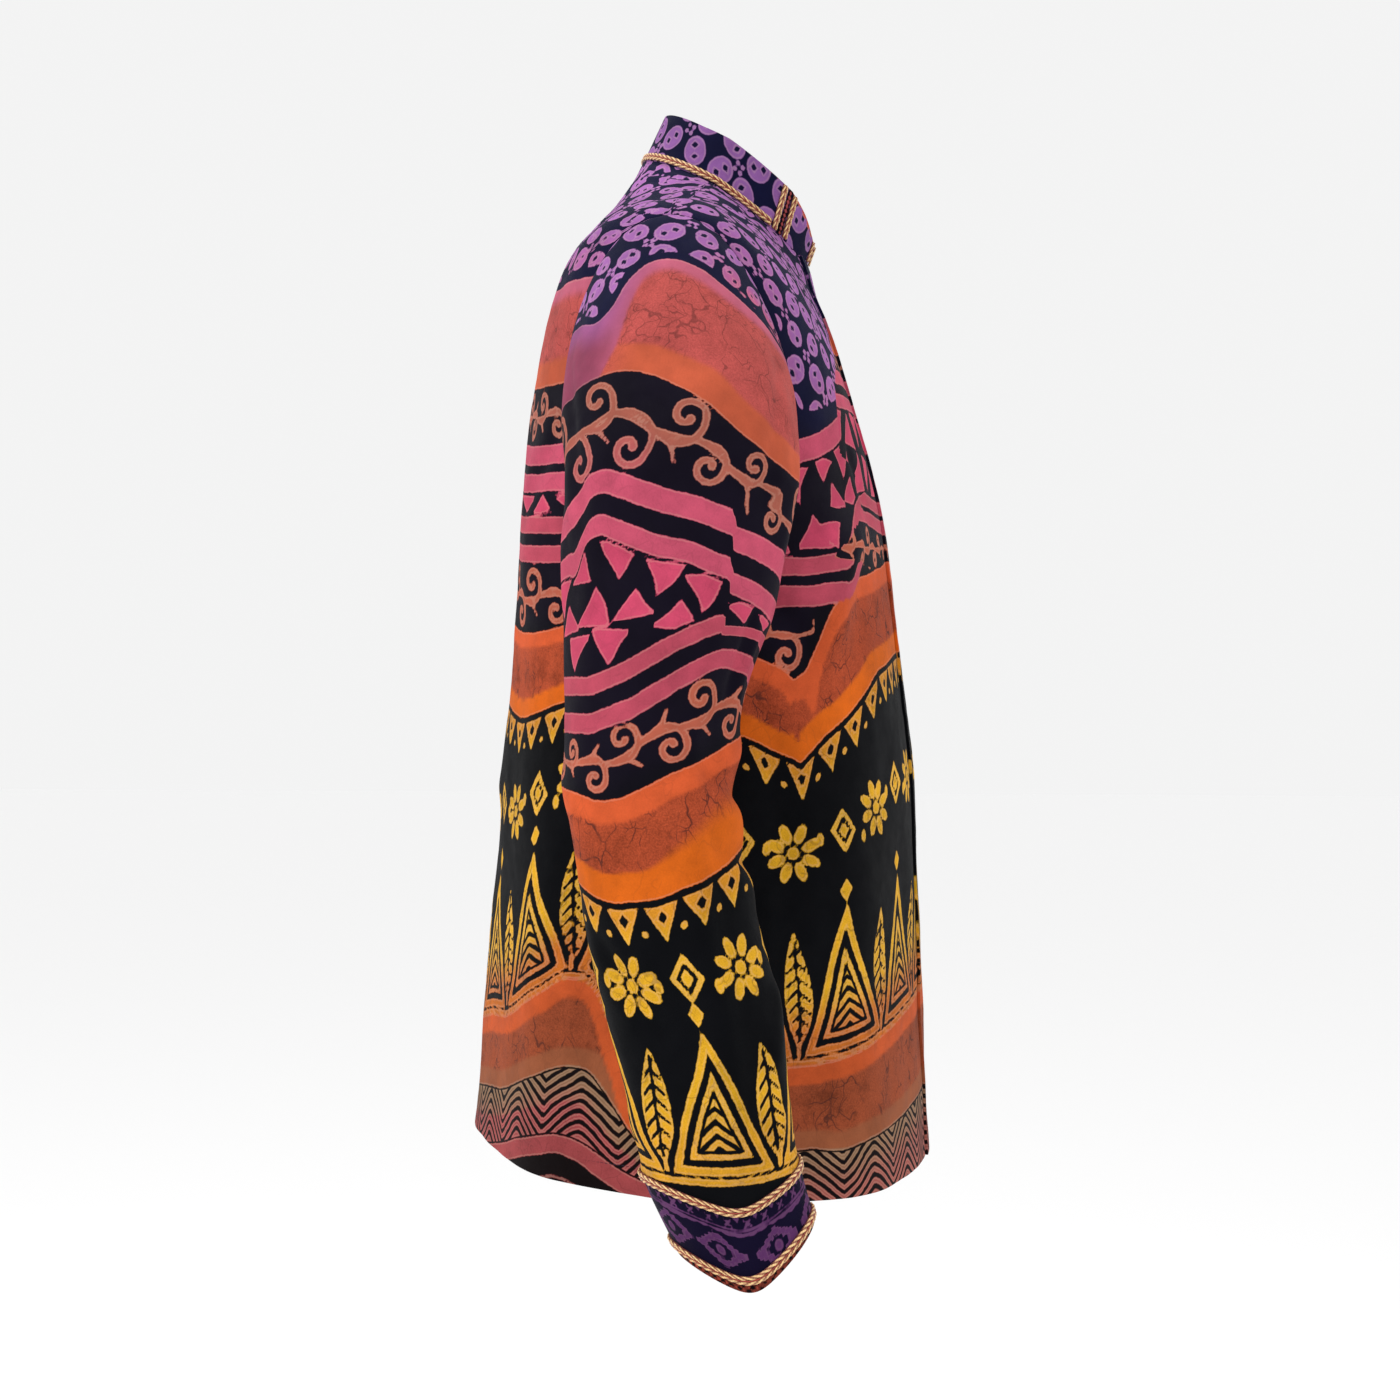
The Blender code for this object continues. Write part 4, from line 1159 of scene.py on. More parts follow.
def kawungEdge(u, v, seed):
    # ovals lie on the lines of a square lattice, each with two eyes, and four dots lie where the lines cross
    cosine, sine = math.cos(kawung["turn"]), math.sin(kawung["turn"])
    x = (u * cosine + v * sine) / kawung["pitch"] + seed * 0.37
    y = (v * cosine - u * sine) / kawung["pitch"] + seed * 0.61
    edge = noEdge(u.shape)
    for lying in (True, False):
        i = np.floor(x) if lying else np.round(x)
        j = np.round(y) if lying else np.floor(y)
        strayX, strayY = (kawung["stray"] * (scatter(i, j, seed + k) - 0.5) for k in (1, 2))
        dx = (x - i - (0.5 if lying else 0.0)) * kawung["pitch"] + strayX
        dy = (y - j - (0.0 if lying else 0.5)) * kawung["pitch"] + strayY
        along, side = (dx, dy) if lying else (dy, dx)
        lean = 0.7 * (scatter(i, j, seed + 3) - 0.5)
        along, side = along * np.cos(lean) + side * np.sin(lean), side * np.cos(lean) - along * np.sin(lean)
        size = 0.94 + 0.16 * scatter(i, j, seed + 4)
        oval = ovalEdge(along / size, side / size, kawung["wide"], kawung["tall"])
        eyeAway = np.abs(along) - kawung["eye"]
        eyes = lozengeEdge(eyeAway, side + 0.8 * lean, kawung["eyeWide"], kawung["eyeTall"])
        edge = np.maximum(edge, np.minimum(oval, -eyes))
    dx = np.abs(x - np.round(x)) * kawung["pitch"]
    dy = np.abs(y - np.round(y)) * kawung["pitch"]
    near = np.minimum(np.hypot(dx - kawung["dotAway"], dy), np.hypot(dx, dy - kawung["dotAway"]))
    return np.maximum(edge, kawung["dotRadius"] - near)


def strokeEdge(x, y, line, halfWidths):
    # the thickest cover of a line of points by a round brush whose width changes along it
    edge = noEdge(x.shape)
    for k in range(len(line) - 1):
        leg = line[k + 1] - line[k]
        t = np.clip(((x - line[k, 0]) * leg[0] + (y - line[k, 1]) * leg[1]) / (leg @ leg + 1e-9), 0.0, 1.0)
        away = np.hypot(x - line[k, 0] - t * leg[0], y - line[k, 1] - t * leg[1])
        edge = np.maximum(edge, halfWidths[k] + t * (halfWidths[k + 1] - halfWidths[k]) - away)
    return edge


def scrollEdge(u, v, top, foot, zone, cap, seed):
    # a stem runs along the middle of a band, and curls leave it by turns upwards and downwards; top and foot
    # give the band's two edges at any place across, and cap is the largest curl's radius
    found = noEdge(u.shape)
    near = zone > -4.0
    if not near.any():
        return found
    x, y = u[near], v[near]
    edge = noEdge(x.shape)
    step, beyond = 2.0, 70.0
    across = np.arange(x.min() - beyond, x.max() + beyond, step)
    middle = (top(across) + foot(across)) / 2
    slope = np.gradient(middle, step)
    stretch = np.sqrt(1 + slope**2)
    walked = np.cumsum(step * stretch)
    halves = (top(across) - foot(across)) / 2 / stretch

    def draw(line, widths):
        # works out one stroke, only for the places close to it
        low, high = line.min(axis=0) - 5.0, line.max(axis=0) + 5.0
        close = (x > low[0]) & (x < high[0]) & (y > low[1]) & (y < high[1])
        edge[close] = np.maximum(edge[close], strokeEdge(x[close], y[close], line, widths))

    starts = []
    place = walked[0] + 12.0 + 9.0 * seed % 7.0
    while place < walked[-1]:
        k = len(starts)
        at, half, lean = (float(np.interp(place, walked, values)) for values in (across, halves, slope))
        along = np.array([1.0, lean]) / math.hypot(1.0, lean)
        up = 1 if k % 2 == 0 else -1
        aside = np.array([-along[1], along[0]]) * up
        size = float(np.clip((half - 2.0) / 2.35, 3.0, cap)) * (0.92 + 0.16 * float(scatter(k, 1, seed)))
        thick = 0.14 * size + 1.0
        swing = max(half - size - thick - 1.2 - 1.6 * float(scatter(k, 3, seed)), 0.3 * size)
        origin = np.array([at, float(np.interp(place, walked, middle))])
        turn = np.linspace(0.0, 1.0, 44)
        sweep = 430.0 + 40.0 * (float(scatter(k, 4, seed)) - 0.5)
        angle = np.radians(-125.0 + sweep * turn)
        reach = size * (1 - 0.78 * turn**2.8)
        first = (swing + 0.25 * size) / 0.82
        reach = reach + (first - size) * (1 - smoothStep(0.0, 0.30, turn))
        line = (reach * np.cos(angle))[:, None] * along + (reach * np.sin(angle))[:, None] * aside
        line = line + origin + swing * aside
        draw(line, thick * (1.0 - 0.08 * turn + 0.30 * smoothStep(0.90, 1.0, turn)))
        starts.append((line[0], along, thick))
        if float(scatter(k, 6, seed)) > 0.55:
            bend = np.linspace(0.0, 1.0, 9)[:, None]
            shoot = line[0] + along * size * (0.20 + 1.25 * bend) - aside * size * 1.15 * bend**1.7
            draw(shoot, thick * (1.0 - 0.50 * bend[:, 0]))
        place = place + size + 16.0
    for (start, away, thick), (finish, toward, other) in zip(starts[:-1], starts[1:]):
        t = np.linspace(0.0, 1.0, 12)[:, None]
        pull = 0.9 * np.linalg.norm(finish - start)
        line = cubicBlend(t, start, away * pull, finish, toward * pull)
        widths = thick + (other - thick) * t[:, 0] + 0.5 * np.cos(2 * math.pi * t[:, 0])
        draw(line, widths)
    # no stem where the band is too narrow for one
    found[near] = np.where(np.interp(x, across, halves) < 8.5, -farOff, edge)
    return np.minimum(found, zone - 1.2)


teeth = {"pitchAcross": 28.0, "pitchUp": 26.5, "half": 14.4, "gap": 2.6, "tallest": 27.0}


def teethEdge(u, v, top, foot, zone, seed):
    # hand-cut triangles in rows that follow the band, by turns hanging and standing, every second row set off
    # by half a pitch; as many rows as fit between the band's edges, which top and foot give at any place
    edge = noEdge(u.shape)
    near = zone > -4.0
    x, y, inside = u[near], v[near], noEdge(int(near.sum()))
    for odd in (0, 1):
        i = np.round(x / teeth["pitchAcross"] - 0.5 * odd)
        centre = (i + 0.5 * odd) * teeth["pitchAcross"]
        low, high = foot(centre), top(centre)
        rows = np.maximum(np.round((high - low) / teeth["pitchUp"]), 1.0)
        tall = (high - low) / rows
        j = np.clip(np.floor((high - y) / tall), 0.0, rows - 1)
        dx = x - centre - 3.0 * (scatter(i, j, seed) - 0.5)
        dy = y - high + (j + 0.5) * tall
        lean = 0.40 * (scatter(i, j, seed + 2) - 0.5)
        dx, dy = dx * np.cos(lean) + dy * np.sin(lean), dy * np.cos(lean) - dx * np.sin(lean)
        hangs = (np.mod(j, 2) == 0) != (scatter(i, j, seed + 3) > 0.9)
        dy = np.where(hangs, -dy, dy)
        height = np.minimum(tall - teeth["gap"], teeth["tallest"]) * (0.88 + 0.12 * scatter(i, j, seed + 4))
        half = teeth["half"] * (0.80 + 0.28 * scatter(i, j, seed + 5))
        dx = dx + 1.3 * np.sin(dy / 5.0 + 6.0 * scatter(i, j, seed + 6))
        slanted = ((half - np.abs(dx)) * height - (dy + height / 2) * half) / np.hypot(half, height)
        shape = np.minimum(dy + height / 2, slanted)
        shape = np.where((np.mod(j, 2) == odd) & (height > 7.0), shape, -farOff)
        inside = np.maximum(inside, shape)
    edge[near] = inside
    return np.minimum(edge, zone - 2.0)


night = {
    "pitch": 78.0, "half": 35.0, "line": 5.2, "innerAway": 9.5, "innerLine": 3.4, "hatchAway": 15.0,
    "leafAway": 6.0, "leafHalf": 10.5, "leafShare": 0.80, "veinPitch": 9.0, "stalkHalf": 1.8,
    "petals": 8, "petalAway": 13.6, "petalLong": 7.2, "petalHalf": 3.9, "heart": 4.4,
    "loopWide": 11.5, "loopTall": 16.0, "loopLine": 3.4, "budAway": 19.5,
    "borderPitch": 26.0, "borderHalf": 11.5, "borderTall": 22.0, "beadRadius": 2.4, "beadDown": 16.0,
}
hatchPitch = 6.3


def nightEdges(u, v, foot, top, height, seed):
    # standing triangles over the lower edge, leaves between them, rosettes and lozenges over them, and a
    # row of hanging triangles under the upper edge; foot and top give the two edges at any place across
    pitch, shift = night["pitch"], seed * 17.0
    own = np.round((u + shift) / pitch) * pitch - shift
    mid = (np.floor((u + shift) / pitch) + 0.5) * pitch - shift
    x, between, y = u - own, u - mid, v - foot(u)
    sway = 1.6 * np.sin(y / 15.0 + u / 60.0)
    whole = triangleEdge(x + sway, y, night["half"], height)
    outline = bandEdge(whole, 0.0, night["line"])
    inner = bandEdge(whole, night["innerAway"], night["innerLine"])
    tip = lozengeEdge(x, y - height - 9.0, 5.5, 8.0)
    sill = bandEdge(-y, 2.0, 4.2)
    tall = height * night["leafShare"]
    t = np.clip((y - night["leafAway"]) / tall, 0.0, 1.0)
    leaf = night["leafHalf"] * np.sin(math.pi * t) ** 0.8 * (1.25 - 0.5 * t) - np.abs(between + sway)
    inside = (y > night["leafAway"]) & (y < night["leafAway"] + tall)
    vein = np.mod((y + 0.9 * np.abs(between)) / night["veinPitch"], 1.0)
    vein = np.abs(vein - 0.5) * night["veinPitch"] - 3.1
    veined = np.minimum(leaf, np.maximum(-vein, 1.6 - leaf))
    split = np.maximum(np.abs(between + sway) - 1.2, 2.2 - leaf)
    leafShape = np.where(inside, np.minimum(veined, split), -9.0)
    stalk = np.where((y > 0.0) & (y < night["leafAway"] + 4.0), night["stalkHalf"] - np.abs(between), -9.0)

    def levelAt(place, over):
        # how far v lies over the middle of the free height above a motif that stands at a place
        low = foot(place) + height + over
        return v - low - (top(place) - low - night["borderTall"] - 10.0) / 2

    level = levelAt(mid, 6.0)
    away = np.hypot(between, level)
    spoke = np.mod(np.arctan2(level, between) * night["petals"] / (2 * math.pi), 1.0) - 0.5
    spoke = spoke * 2 * math.pi / night["petals"]
    along = away * np.cos(spoke) - night["petalAway"]
    petals = ovalEdge(along, away * np.sin(spoke), night["petalLong"], night["petalHalf"])
    rosette = np.maximum(petals, night["heart"] - away)
    level = levelAt(own, 12.0)
    loop = bandEdge(lozengeEdge(x, level, night["loopWide"], night["loopTall"]), 0.0, night["loopLine"])
    loop = np.maximum(loop, lozengeEdge(x, level, 4.4, 6.4))
    buds = ovalEdge(np.abs(x) - night["budAway"], level + 5.0, 2.8, 4.6)
    half = night["borderPitch"] / 2
    small = np.mod(u + seed * 9.0, night["borderPitch"]) - half
    down = top(u) - v - 4.0
    hanging = triangleEdge(small, down, night["borderHalf"], night["borderTall"])
    hanging = np.minimum(hanging, -lozengeEdge(small, down - 7.2, 3.4, 4.2))
    small = np.mod(u + seed * 9.0 + half, night["borderPitch"]) - half
    bead = night["beadRadius"] - np.hypot(small, down - night["beadDown"])
    shapes = (outline, inner, tip, sill, leafShape, stalk, rosette, loop, buds, hanging, bead)
    edge = np.maximum.reduce(shapes)
    hatchZone = whole - night["hatchAway"]
    hatch = (np.abs(x + sway) * 0.8 + y) / math.hypot(1, 0.8) / hatchPitch
    return edge, hatchZone, hatch, y


def startPrint(u, ground="navy"):
    # bare ground, with no ink on it yet
    shape = u.shape
    return {
        "inkEdge": noEdge(shape),
        "inkColour": np.zeros(shape + (3,)),
        "groundColour": np.zeros(shape + (3,)) + inkOf(ground),
        "crackle": np.zeros(shape),
        "hatch": np.zeros(shape),
        "hatchZone": noEdge(shape),
    }


def addInk(paint, edge, colour, crackle=0.0):
    # of two shapes at one place, the one whose edge is further away gives the ink
    better = edge > paint["inkEdge"]
    paint["inkEdge"] = np.where(better, edge, paint["inkEdge"])
    paint["inkColour"] = np.where(better[..., None], colour, paint["inkColour"])
    paint["crackle"] = np.where(better, crackle, paint["crackle"])


def blendInk(first, second, share):
    # the first times (1 - share), plus the second times the share
    share = np.asarray(share)[..., None]
    return inkOf(first) * (1 - share) + inkOf(second) * share


def waveInk(paint, fromTop, fromFoot, names, widths, crackle, soft=1.2):
    # an upper strip, a crackled middle and a lower strip; fromTop and fromFoot are distances into the wave
    top, middle, foot = (inkOf(name) for name in names)
    upper = smoothStep(widths[0] + 1.2, widths[0] - 1.2, fromTop)[..., None]
    lower = smoothStep(widths[1] + soft, widths[1] - soft, fromFoot)[..., None]
    colour = middle * (1 - upper) * (1 - lower) + top * upper + foot * lower * (1 - upper)
    plain = np.maximum(upper, lower)[..., 0]
    addInk(paint, np.minimum(fromTop, fromFoot), colour, crackle * (1 - 0.85 * plain))


def stripeInk(paint, away, widths, ink):
    # two stripes with a gap between them; gives back how far down the second one ends
    first, gap, second = widths
    for start, width in ((0.0, first), (first + gap, second)):
        addInk(paint, bandEdge(away, start, width), inkOf(ink), 0.15)
    return first + gap + second


def batikPaint(u, v, bands, piece, ovalPlace, footLine=None):
    # the whole print of a panel, from the ovals at its top to the chevrons at its hem
    paint = startPrint(u)
    away = {}
    curve = {}
    for column in bandColumns[1:]:
        line = throughPoints(u, bands, column)
        slope = (throughPoints(u + 1.0, bands, column) - throughPoints(u - 1.0, bands, column)) / 2
        curve[column] = line
        away[column] = (line - v) / np.sqrt(1 + slope**2)

    # ovals, down to the first wave, or to the stripes where that wave has run out
    endTop = np.maximum(away["waveOneTop"], away["upperStripes"] + 4.0)
    ovals = kawungEdge(*ovalPlace, piece["seed"])
    pink = smoothStep(-34.0, -12.0, away["waveOneTop"]) * smoothStep(10.0, 60.0, u * piece["pinkSide"])
    ovalInk = blendInk("violet", "pinkOval", pink * piece["pinkShare"])
    addInk(paint, np.minimum(ovals, -endTop - 6.5), ovalInk, 0.10)

    rear = piece["violetFrom"] + 38.0 + 0.25 * v - u
    wide = piece["waveOneStrip"] + 70.0 * smoothStep(-6.0, 24.0, rear)
    violet = smoothStep(-20.0, 26.0, rear)[..., None]
    fromTop, fromFoot = away["waveOneTop"], -away["waveOneFoot"]
    upper = smoothStep(wide + 4.0, wide - 4.0, fromTop)[..., None]
    lower = smoothStep(piece["waveOneLow"] + 2.0, piece["waveOneLow"] - 2.0, fromFoot)[..., None]
    lower = lower * (1 - violet)
    colour = inkOf("waveOneMiddle") * (1 - upper) * (1 - lower) + inkOf("waveOneLow") * lower * (1 - upper)
    mauve = blendInk("violet", "waveOneViolet", 0.6 + 0.4 * smoothStep(2.0, 26.0, fromTop))
    colour = colour + (inkOf("waveOneTop") * (1 - violet) + mauve * violet) * upper
    thin = smoothStep(2.0, 5.0, curve["waveOneTop"] - curve["waveOneFoot"])
    edge = np.minimum(fromTop, fromFoot) - 9.0 * (1 - thin)
    addInk(paint, edge, colour, 0.65 - 0.6 * np.maximum(upper, lower)[..., 0])

    def reader(column, lower=0.0):
        return lambda at: throughPoints(at, bands, column) - lower

    zone = np.minimum(away["waveOneFoot"], -away["upperStripes"])
    scroll = scrollEdge(u, v, reader("waveOneFoot"), reader("upperStripes"), zone, 11.5, piece["seed"])
    redder = 0.4 * smoothStep(30.0, 60.0, away["waveOneFoot"])
    addInk(paint, scroll, blendInk("scroll", "stripe", redder), 0.1)
    upperEnd = stripeInk(paint, away["upperStripes"], piece["upperWidths"], "stripe")
    zone = np.minimum(away["upperStripes"] - upperEnd, -away["lowerStripes"])
    cuts = teethEdge(u, v, reader("upperStripes", upperEnd), reader("lowerStripes"), zone, piece["seed"])
    addInk(paint, cuts, inkOf("triangle"), 0.12)
    lowerEnd = stripeInk(paint, away["lowerStripes"], piece["lowerWidths"], "stripeLow")
    zone = np.minimum(away["lowerStripes"] - lowerEnd, -away["waveTwoTop"])
    stems = reader("lowerStripes", lowerEnd), reader("waveTwoTop")
    scroll = scrollEdge(u, v, *stems, zone, 9.0, piece["seed"] + 5)
    addInk(paint, scroll, blendInk("scroll", "waveTwoTop", 0.25 * np.ones(u.shape)), 0.1)
    names = ("waveTwoTop", "waveTwoMiddle", "waveTwoLow")
    grown = piece["waveTwoGrowth"] * smoothStep(-10.0, 60.0, u)
    widths = (piece["waveTwoStrip"], piece["waveTwoLow"] + grown)
    waveInk(paint, away["waveTwoTop"], -away["waveTwoFoot"], names, widths, 1.0, 1.2 + 0.7 * grown)

    if footLine is None:
        foot, height, amber = reader("hemWaveTop", -6.0), 98.0, 1.0
    else:
        foot, height, amber = footLine, 88.0, 0.25
    edge, hatchZone, hatch, up = nightEdges(u, v, foot, reader("waveTwoFoot"), height, piece["seed"])
    within = np.minimum(away["waveTwoFoot"] - 1.5, up + 7.5)
    tone = 1 - amber * smoothStep(44.0, 12.0, up)
    tone = tone * (1 - 0.55 * smoothStep(30.0, 6.0, away["waveTwoFoot"]))
    yellow = blendInk("amber", "yellow", tone)
    addInk(paint, np.minimum(edge, within), yellow, 0.45)
    paint["hatchZone"] = np.minimum(hatchZone, within)
    paint["hatch"] = hatch
    nearHatch = (hatchZone > -3.0) & (within > 0.0)
    paint["inkColour"] = np.where(nearHatch[..., None], yellow, paint["inkColour"])

    if piece["hem"]:
        names = ("hemWaveTop", "hemWaveMiddle", "hemWaveLow")
        waveInk(paint, away["hemWaveTop"], -away["hemWaveFoot"], names, (13.0, 13.0), 0.9)
        zig = np.mod(u / 29.0 + piece["seed"] * 0.3, 2.0) - 1.0
        zig = 24.0 * np.sqrt(zig**2 + 0.010) + 1.4 * np.sin(u / 9.0 + v / 13.0)
        below = np.minimum(away["hemWaveFoot"] - 1.2, -away["hemBand"] - 1.2)
        useChevron = away["hemWaveTop"] > 0
        paint["hatch"] = np.where(useChevron, (v + zig) / 7.4, paint["hatch"])
        paint["hatchZone"] = np.where(useChevron, below, paint["hatchZone"])
        chevron = blendInk("chevronLow", "chevron", smoothStep(4.0, 30.0, away["hemWaveFoot"]))
        inked = away["hemWaveFoot"] > 0
        paint["inkColour"] = np.where(inked[..., None], chevron, paint["inkColour"])
        addInk(paint, bandEdge(away["hemBand"], 0.0, 13.0), inkOf("hemBand"), 0.3)
        addInk(paint, bandEdge(away["hemBand"], 27.0, 2.6), blendInk("earth", "hemBand", 0.5), 0.3)
    ground = blendInk("navy", "dusk", smoothStep(-6.0, 30.0, away["waveOneTop"]))
    deep = smoothStep(-20.0, 12.0, away["waveTwoTop"])[..., None]
    ground = ground * (1 - deep) + inkOf("night") * deep
    if piece["hem"]:
        deep = smoothStep(-4.0, 4.0, away["hemWaveFoot"])[..., None]
        ground = ground * (1 - deep) + inkOf("earth") * deep
    paint["groundColour"] = ground
    return paint


def withLines(paint, u, v, stitchAway=None, stitchAlong=None):
    # colours get a fourth value, and the sewing lines are kept as a distance and a length along them
    ones = np.ones(u.shape + (1,))
    return {
        **paint,
        "inkColour": np.concatenate([paint["inkColour"], ones], axis=-1),
        "groundColour": np.concatenate([paint["groundColour"], ones], axis=-1),
        "clothPlace": np.stack([u / 1000, v / 1000, np.zeros(u.shape)], axis=-1),
        "stitchAway": np.full(u.shape, farOff) if stitchAway is None else stitchAway,
        "stitchAlong": u if stitchAlong is None else stitchAlong,
    }


printColumns = (
    "seed", "upperWidths", "lowerWidths", "waveOneStrip", "waveOneLow", "waveTwoStrip", "waveTwoLow",
    "waveTwoGrowth", "violetFrom", "pinkSide", "pinkShare", "hem",
)
printRows = {
    "right": (
        1.0, (16.0, 4.0, -4.0), (12.5, 6.5, 14.5), 9.0, 16.0, 14.0, 15.0, 0.0, -900.0, -1.0, 0.15, True,
    ),
    "left": (
        2.0, (11.5, 7.5, 10.5), (10.5, 3.5, 11.0), 9.0, 15.0, 14.0, 16.0, 0.0, -900.0, 1.0, 0.3, True,
    ),
    "back": (
        3.0, (14.0, 6.0, 13.0), (12.0, 8.0, 12.0), 10.0, 18.0, 11.0, 13.0, 0.0, -900.0, 1.0, 0.3, True,
    ),
    "sleeve": (
        4.0, (15.0, 12.5, 13.0), (11.8, 10.5, 12.5), 10.0, 21.0, 14.5, 18.0, 14.0, -34.0, 1.0, 0.8, False,
    ),
}
panelPrints = {name: dict(zip(printColumns, row)) for name, row in printRows.items()}
foldLine = (
    (-325.0, -187.0), (-306.0, -178.0), (-294.0, -172.0), (-283.0, -165.0), (-267.0, -141.0),
    (-250.0, -112.0), (-231.0, -84.0), (-221.0, -112.0), (-213.0, -140.0), (-196.0, -139.0),
    (-170.0, -134.0), (-150.0, -118.0), (-120.0, -60.0), (-100.0, -24.0), (0.0, -16.0),
)


def hemStitches(ring, angle, v):
    # how far a place lies from the stitches that hold the hem's fold
    return np.abs(v - torsoPlace(np.zeros_like(ring), angle)[1] - 1000 * cloth["hemFold"])


def choosePaint(first, second, useSecond):
    # the second print inside the mask, the first outside it
    chosen = {}
    for label, values in first.items():
        mask = useSecond[..., None] if values.ndim == 3 else useSecond
        chosen[label] = np.where(mask, second[label], values)
    return chosen


def paintFrontRight(ring, angle):
    # beyond the line of the fold under the arm, the print starts again elsewhere
    u, v = torsoPlace(ring, angle)
    ovalPlace = yokePlace(ring, angle)
    main = batikPaint(u, v, rightBands, panelPrints["right"], ovalPlace)
    beyond = batikPaint(u, v, leftBands, panelPrints["left"], ovalPlace)
    line = np.interp(v, [row[0] for row in foldLine], [row[1] for row in foldLine])
    paint = choosePaint(main, beyond, (u > line) & (v > -289.0))
    return withLines(paint, u, v, hemStitches(ring, angle, v))


def paintFrontLeft(ring, angle):
    # stitches run over the hem and beside the front edge
    u, v = torsoPlace(ring, angle)
    paint = batikPaint(u, v, leftBands, panelPrints["left"], yokePlace(ring, angle))
    hemAway = hemStitches(ring, angle, v)
    across = torsoPoint(ring, angle)[..., 0]
    frontAway = np.abs(across * 1000 + 1000 * cloth["lapOut"] - 1000 * cloth["frontFold"])
    along = np.where(hemAway < frontAway, u, v)
    return withLines(paint, u, v, np.minimum(hemAway, frontAway), along)


def paintBack(ring, angle):
    u, v = torsoPlace(ring, angle)
    u = fromBackMiddle(ring, u)
    ovalAcross, ovalUp = yokePlace(ring, angle)
    ovalPlace = (fromBackMiddle(ring, ovalAcross), ovalUp)
    paint = batikPaint(u, v, backBands, panelPrints["back"], ovalPlace)
    return withLines(paint, u, v, hemStitches(ring, angle, v))


def cuffLine(across):
    # the height of the cuff's seam over the places across a sleeve
    turns = np.arange(-180.0, 181.0, 3.0)
    seam = sleevePlace(np.full(turns.shape, sleeveShape["cuffSeam"]), turns)
    return np.interp(across, *seam) + 7.0


def sleevePainter(side):
    def paintSleeve(station, turn):
        u, v = sleevePlace(station, turn)
        u = u + (0.0 if side < 0 else 9.0 * np.sin(v / 60.0))
        # the tuck takes up some of the print on its front side
        jump = 9.0 * smoothStep(41.5, 43.5, u) * smoothStep(-258.0, -268.0, v) * smoothStep(-352.0, -338.0, v)
        shifted = v + jump + (0.0 if side < 0 else 7.0 * np.sin(u / 45.0 + 0.8) - 3.0)
        paint = batikPaint(u, shifted, sleeveBands, panelPrints["sleeve"], (u, shifted), cuffLine)
        return withLines(paint, u, v)

    return paintSleeve


# cuffs and collar
def cuffPlace(station, turn):
    # round the cuff from its outer side, and down it from the seam, in millimetres
    across, up = sleevePlace(station, turn)
    return across, sleevePlace(np.full(np.shape(turn), sleeveShape["cuffSeam"]), turn)[1] - up


ikat = {
    "pitch": 36.0, "middle": 27.0, "step": 2.3, "line": 5.0, "rail": 12.2, "starPitch": 12.0, "starRow": 7.0,
}


def ikatPaint(u, v, seed):
    # stepped lozenges with an oval in each, under a rail with a ragged foot and a row of small crosses
    paint = startPrint(u, "cuffNavy")
    violet = inkOf("ikatViolet")
    k = np.round((u + seed) / ikat["pitch"])
    cell = u + seed - k * ikat["pitch"] - 2.0 * (scatter(k, 1, seed) - 0.5)
    slant = 0.16 * (scatter(k, 3, seed) - 0.3) * cell
    x = (np.floor(np.abs(cell) / ikat["step"]) + 0.5) * ikat["step"]
    y = (np.floor(np.abs(v - ikat["middle"] - slant) / ikat["step"]) + 0.5) * ikat["step"]
    whole = (13.2 + 2.4 * scatter(k, 2, seed) - (x * 0.80 + y * 1.24)) * 0.8
    outline = bandEdge(whole, 0.0, ikat["line"])
    heart = ovalEdge(cell, v - ikat["middle"] - slant, 3.1, 3.6)
    addInk(paint, np.maximum(outline, heart), violet, 0.2)
    ragged = 0.9 * np.abs(np.sin(u / 2.4)) + 0.7 * np.sin(u / 6.1) + 0.5
    rail = np.minimum(v - ikat["rail"] + 2.0, ikat["rail"] + 1.2 + ragged - v)
    rail = np.minimum(rail, np.abs(v - ikat["rail"] + 0.3 - 0.2 * np.sin(u / 9.0)) - 0.45)
    addInk(paint, rail, violet, 0.2)
    small = np.mod(u, ikat["starPitch"]) - ikat["starPitch"] / 2
    up = v - ikat["starRow"]
    cross = np.minimum(1.0 - np.abs(np.abs(small) - np.abs(up)), 3.2 - np.hypot(small, up))
    between = np.mod(u + ikat["starPitch"] / 2, ikat["starPitch"]) - ikat["starPitch"] / 2
    marks = np.maximum(cross, lozengeEdge(between, v - 3.6, 1.8, 2.6))
    addInk(paint, marks, violet, 0.2)
    return paint


def paintCuff(station, turn):
    u, v = cuffPlace(station, turn)
    paint = ikatPaint(u, v, 4.0)
    return withLines(paint, u, v)


rust = {"pitch": 5.4, "row": 2.8}


def paintRust(u, v):
    # dark lozenges in two rows, with a paler mark between them
    paint = startPrint(u, "rust")
    half = rust["pitch"] / 2
    shifted = u + half * np.mod(np.floor(v / rust["row"]), 2)
    small, between = (np.mod(shifted + start, rust["pitch"]) - half for start in (0.0, half))
    tall = np.mod(v, rust["row"]) - rust["row"] / 2
    addInk(paint, lozengeEdge(small, tall, 2.3, 1.5), inkOf("earth"), 0.3)
    addInk(paint, lozengeEdge(between, tall, 0.9, 0.9), inkOf("terracotta"), 0.1)
    return withLines(paint, u, v)


def paintCuffEdge(station, turn):
    return paintRust(*cuffPlace(station, turn))


def collarPlace(angle, height):
    # the length walked from the middle of the back, and the height over the seam
    fine = np.linspace(0.0, 360.0, 721)
    walked = lengthsAlong(collarPoint(fine, np.full(fine.shape, 0.018)), 0, 360)
    return np.interp(np.mod(angle, 360.0), fine, walked), height * 1000


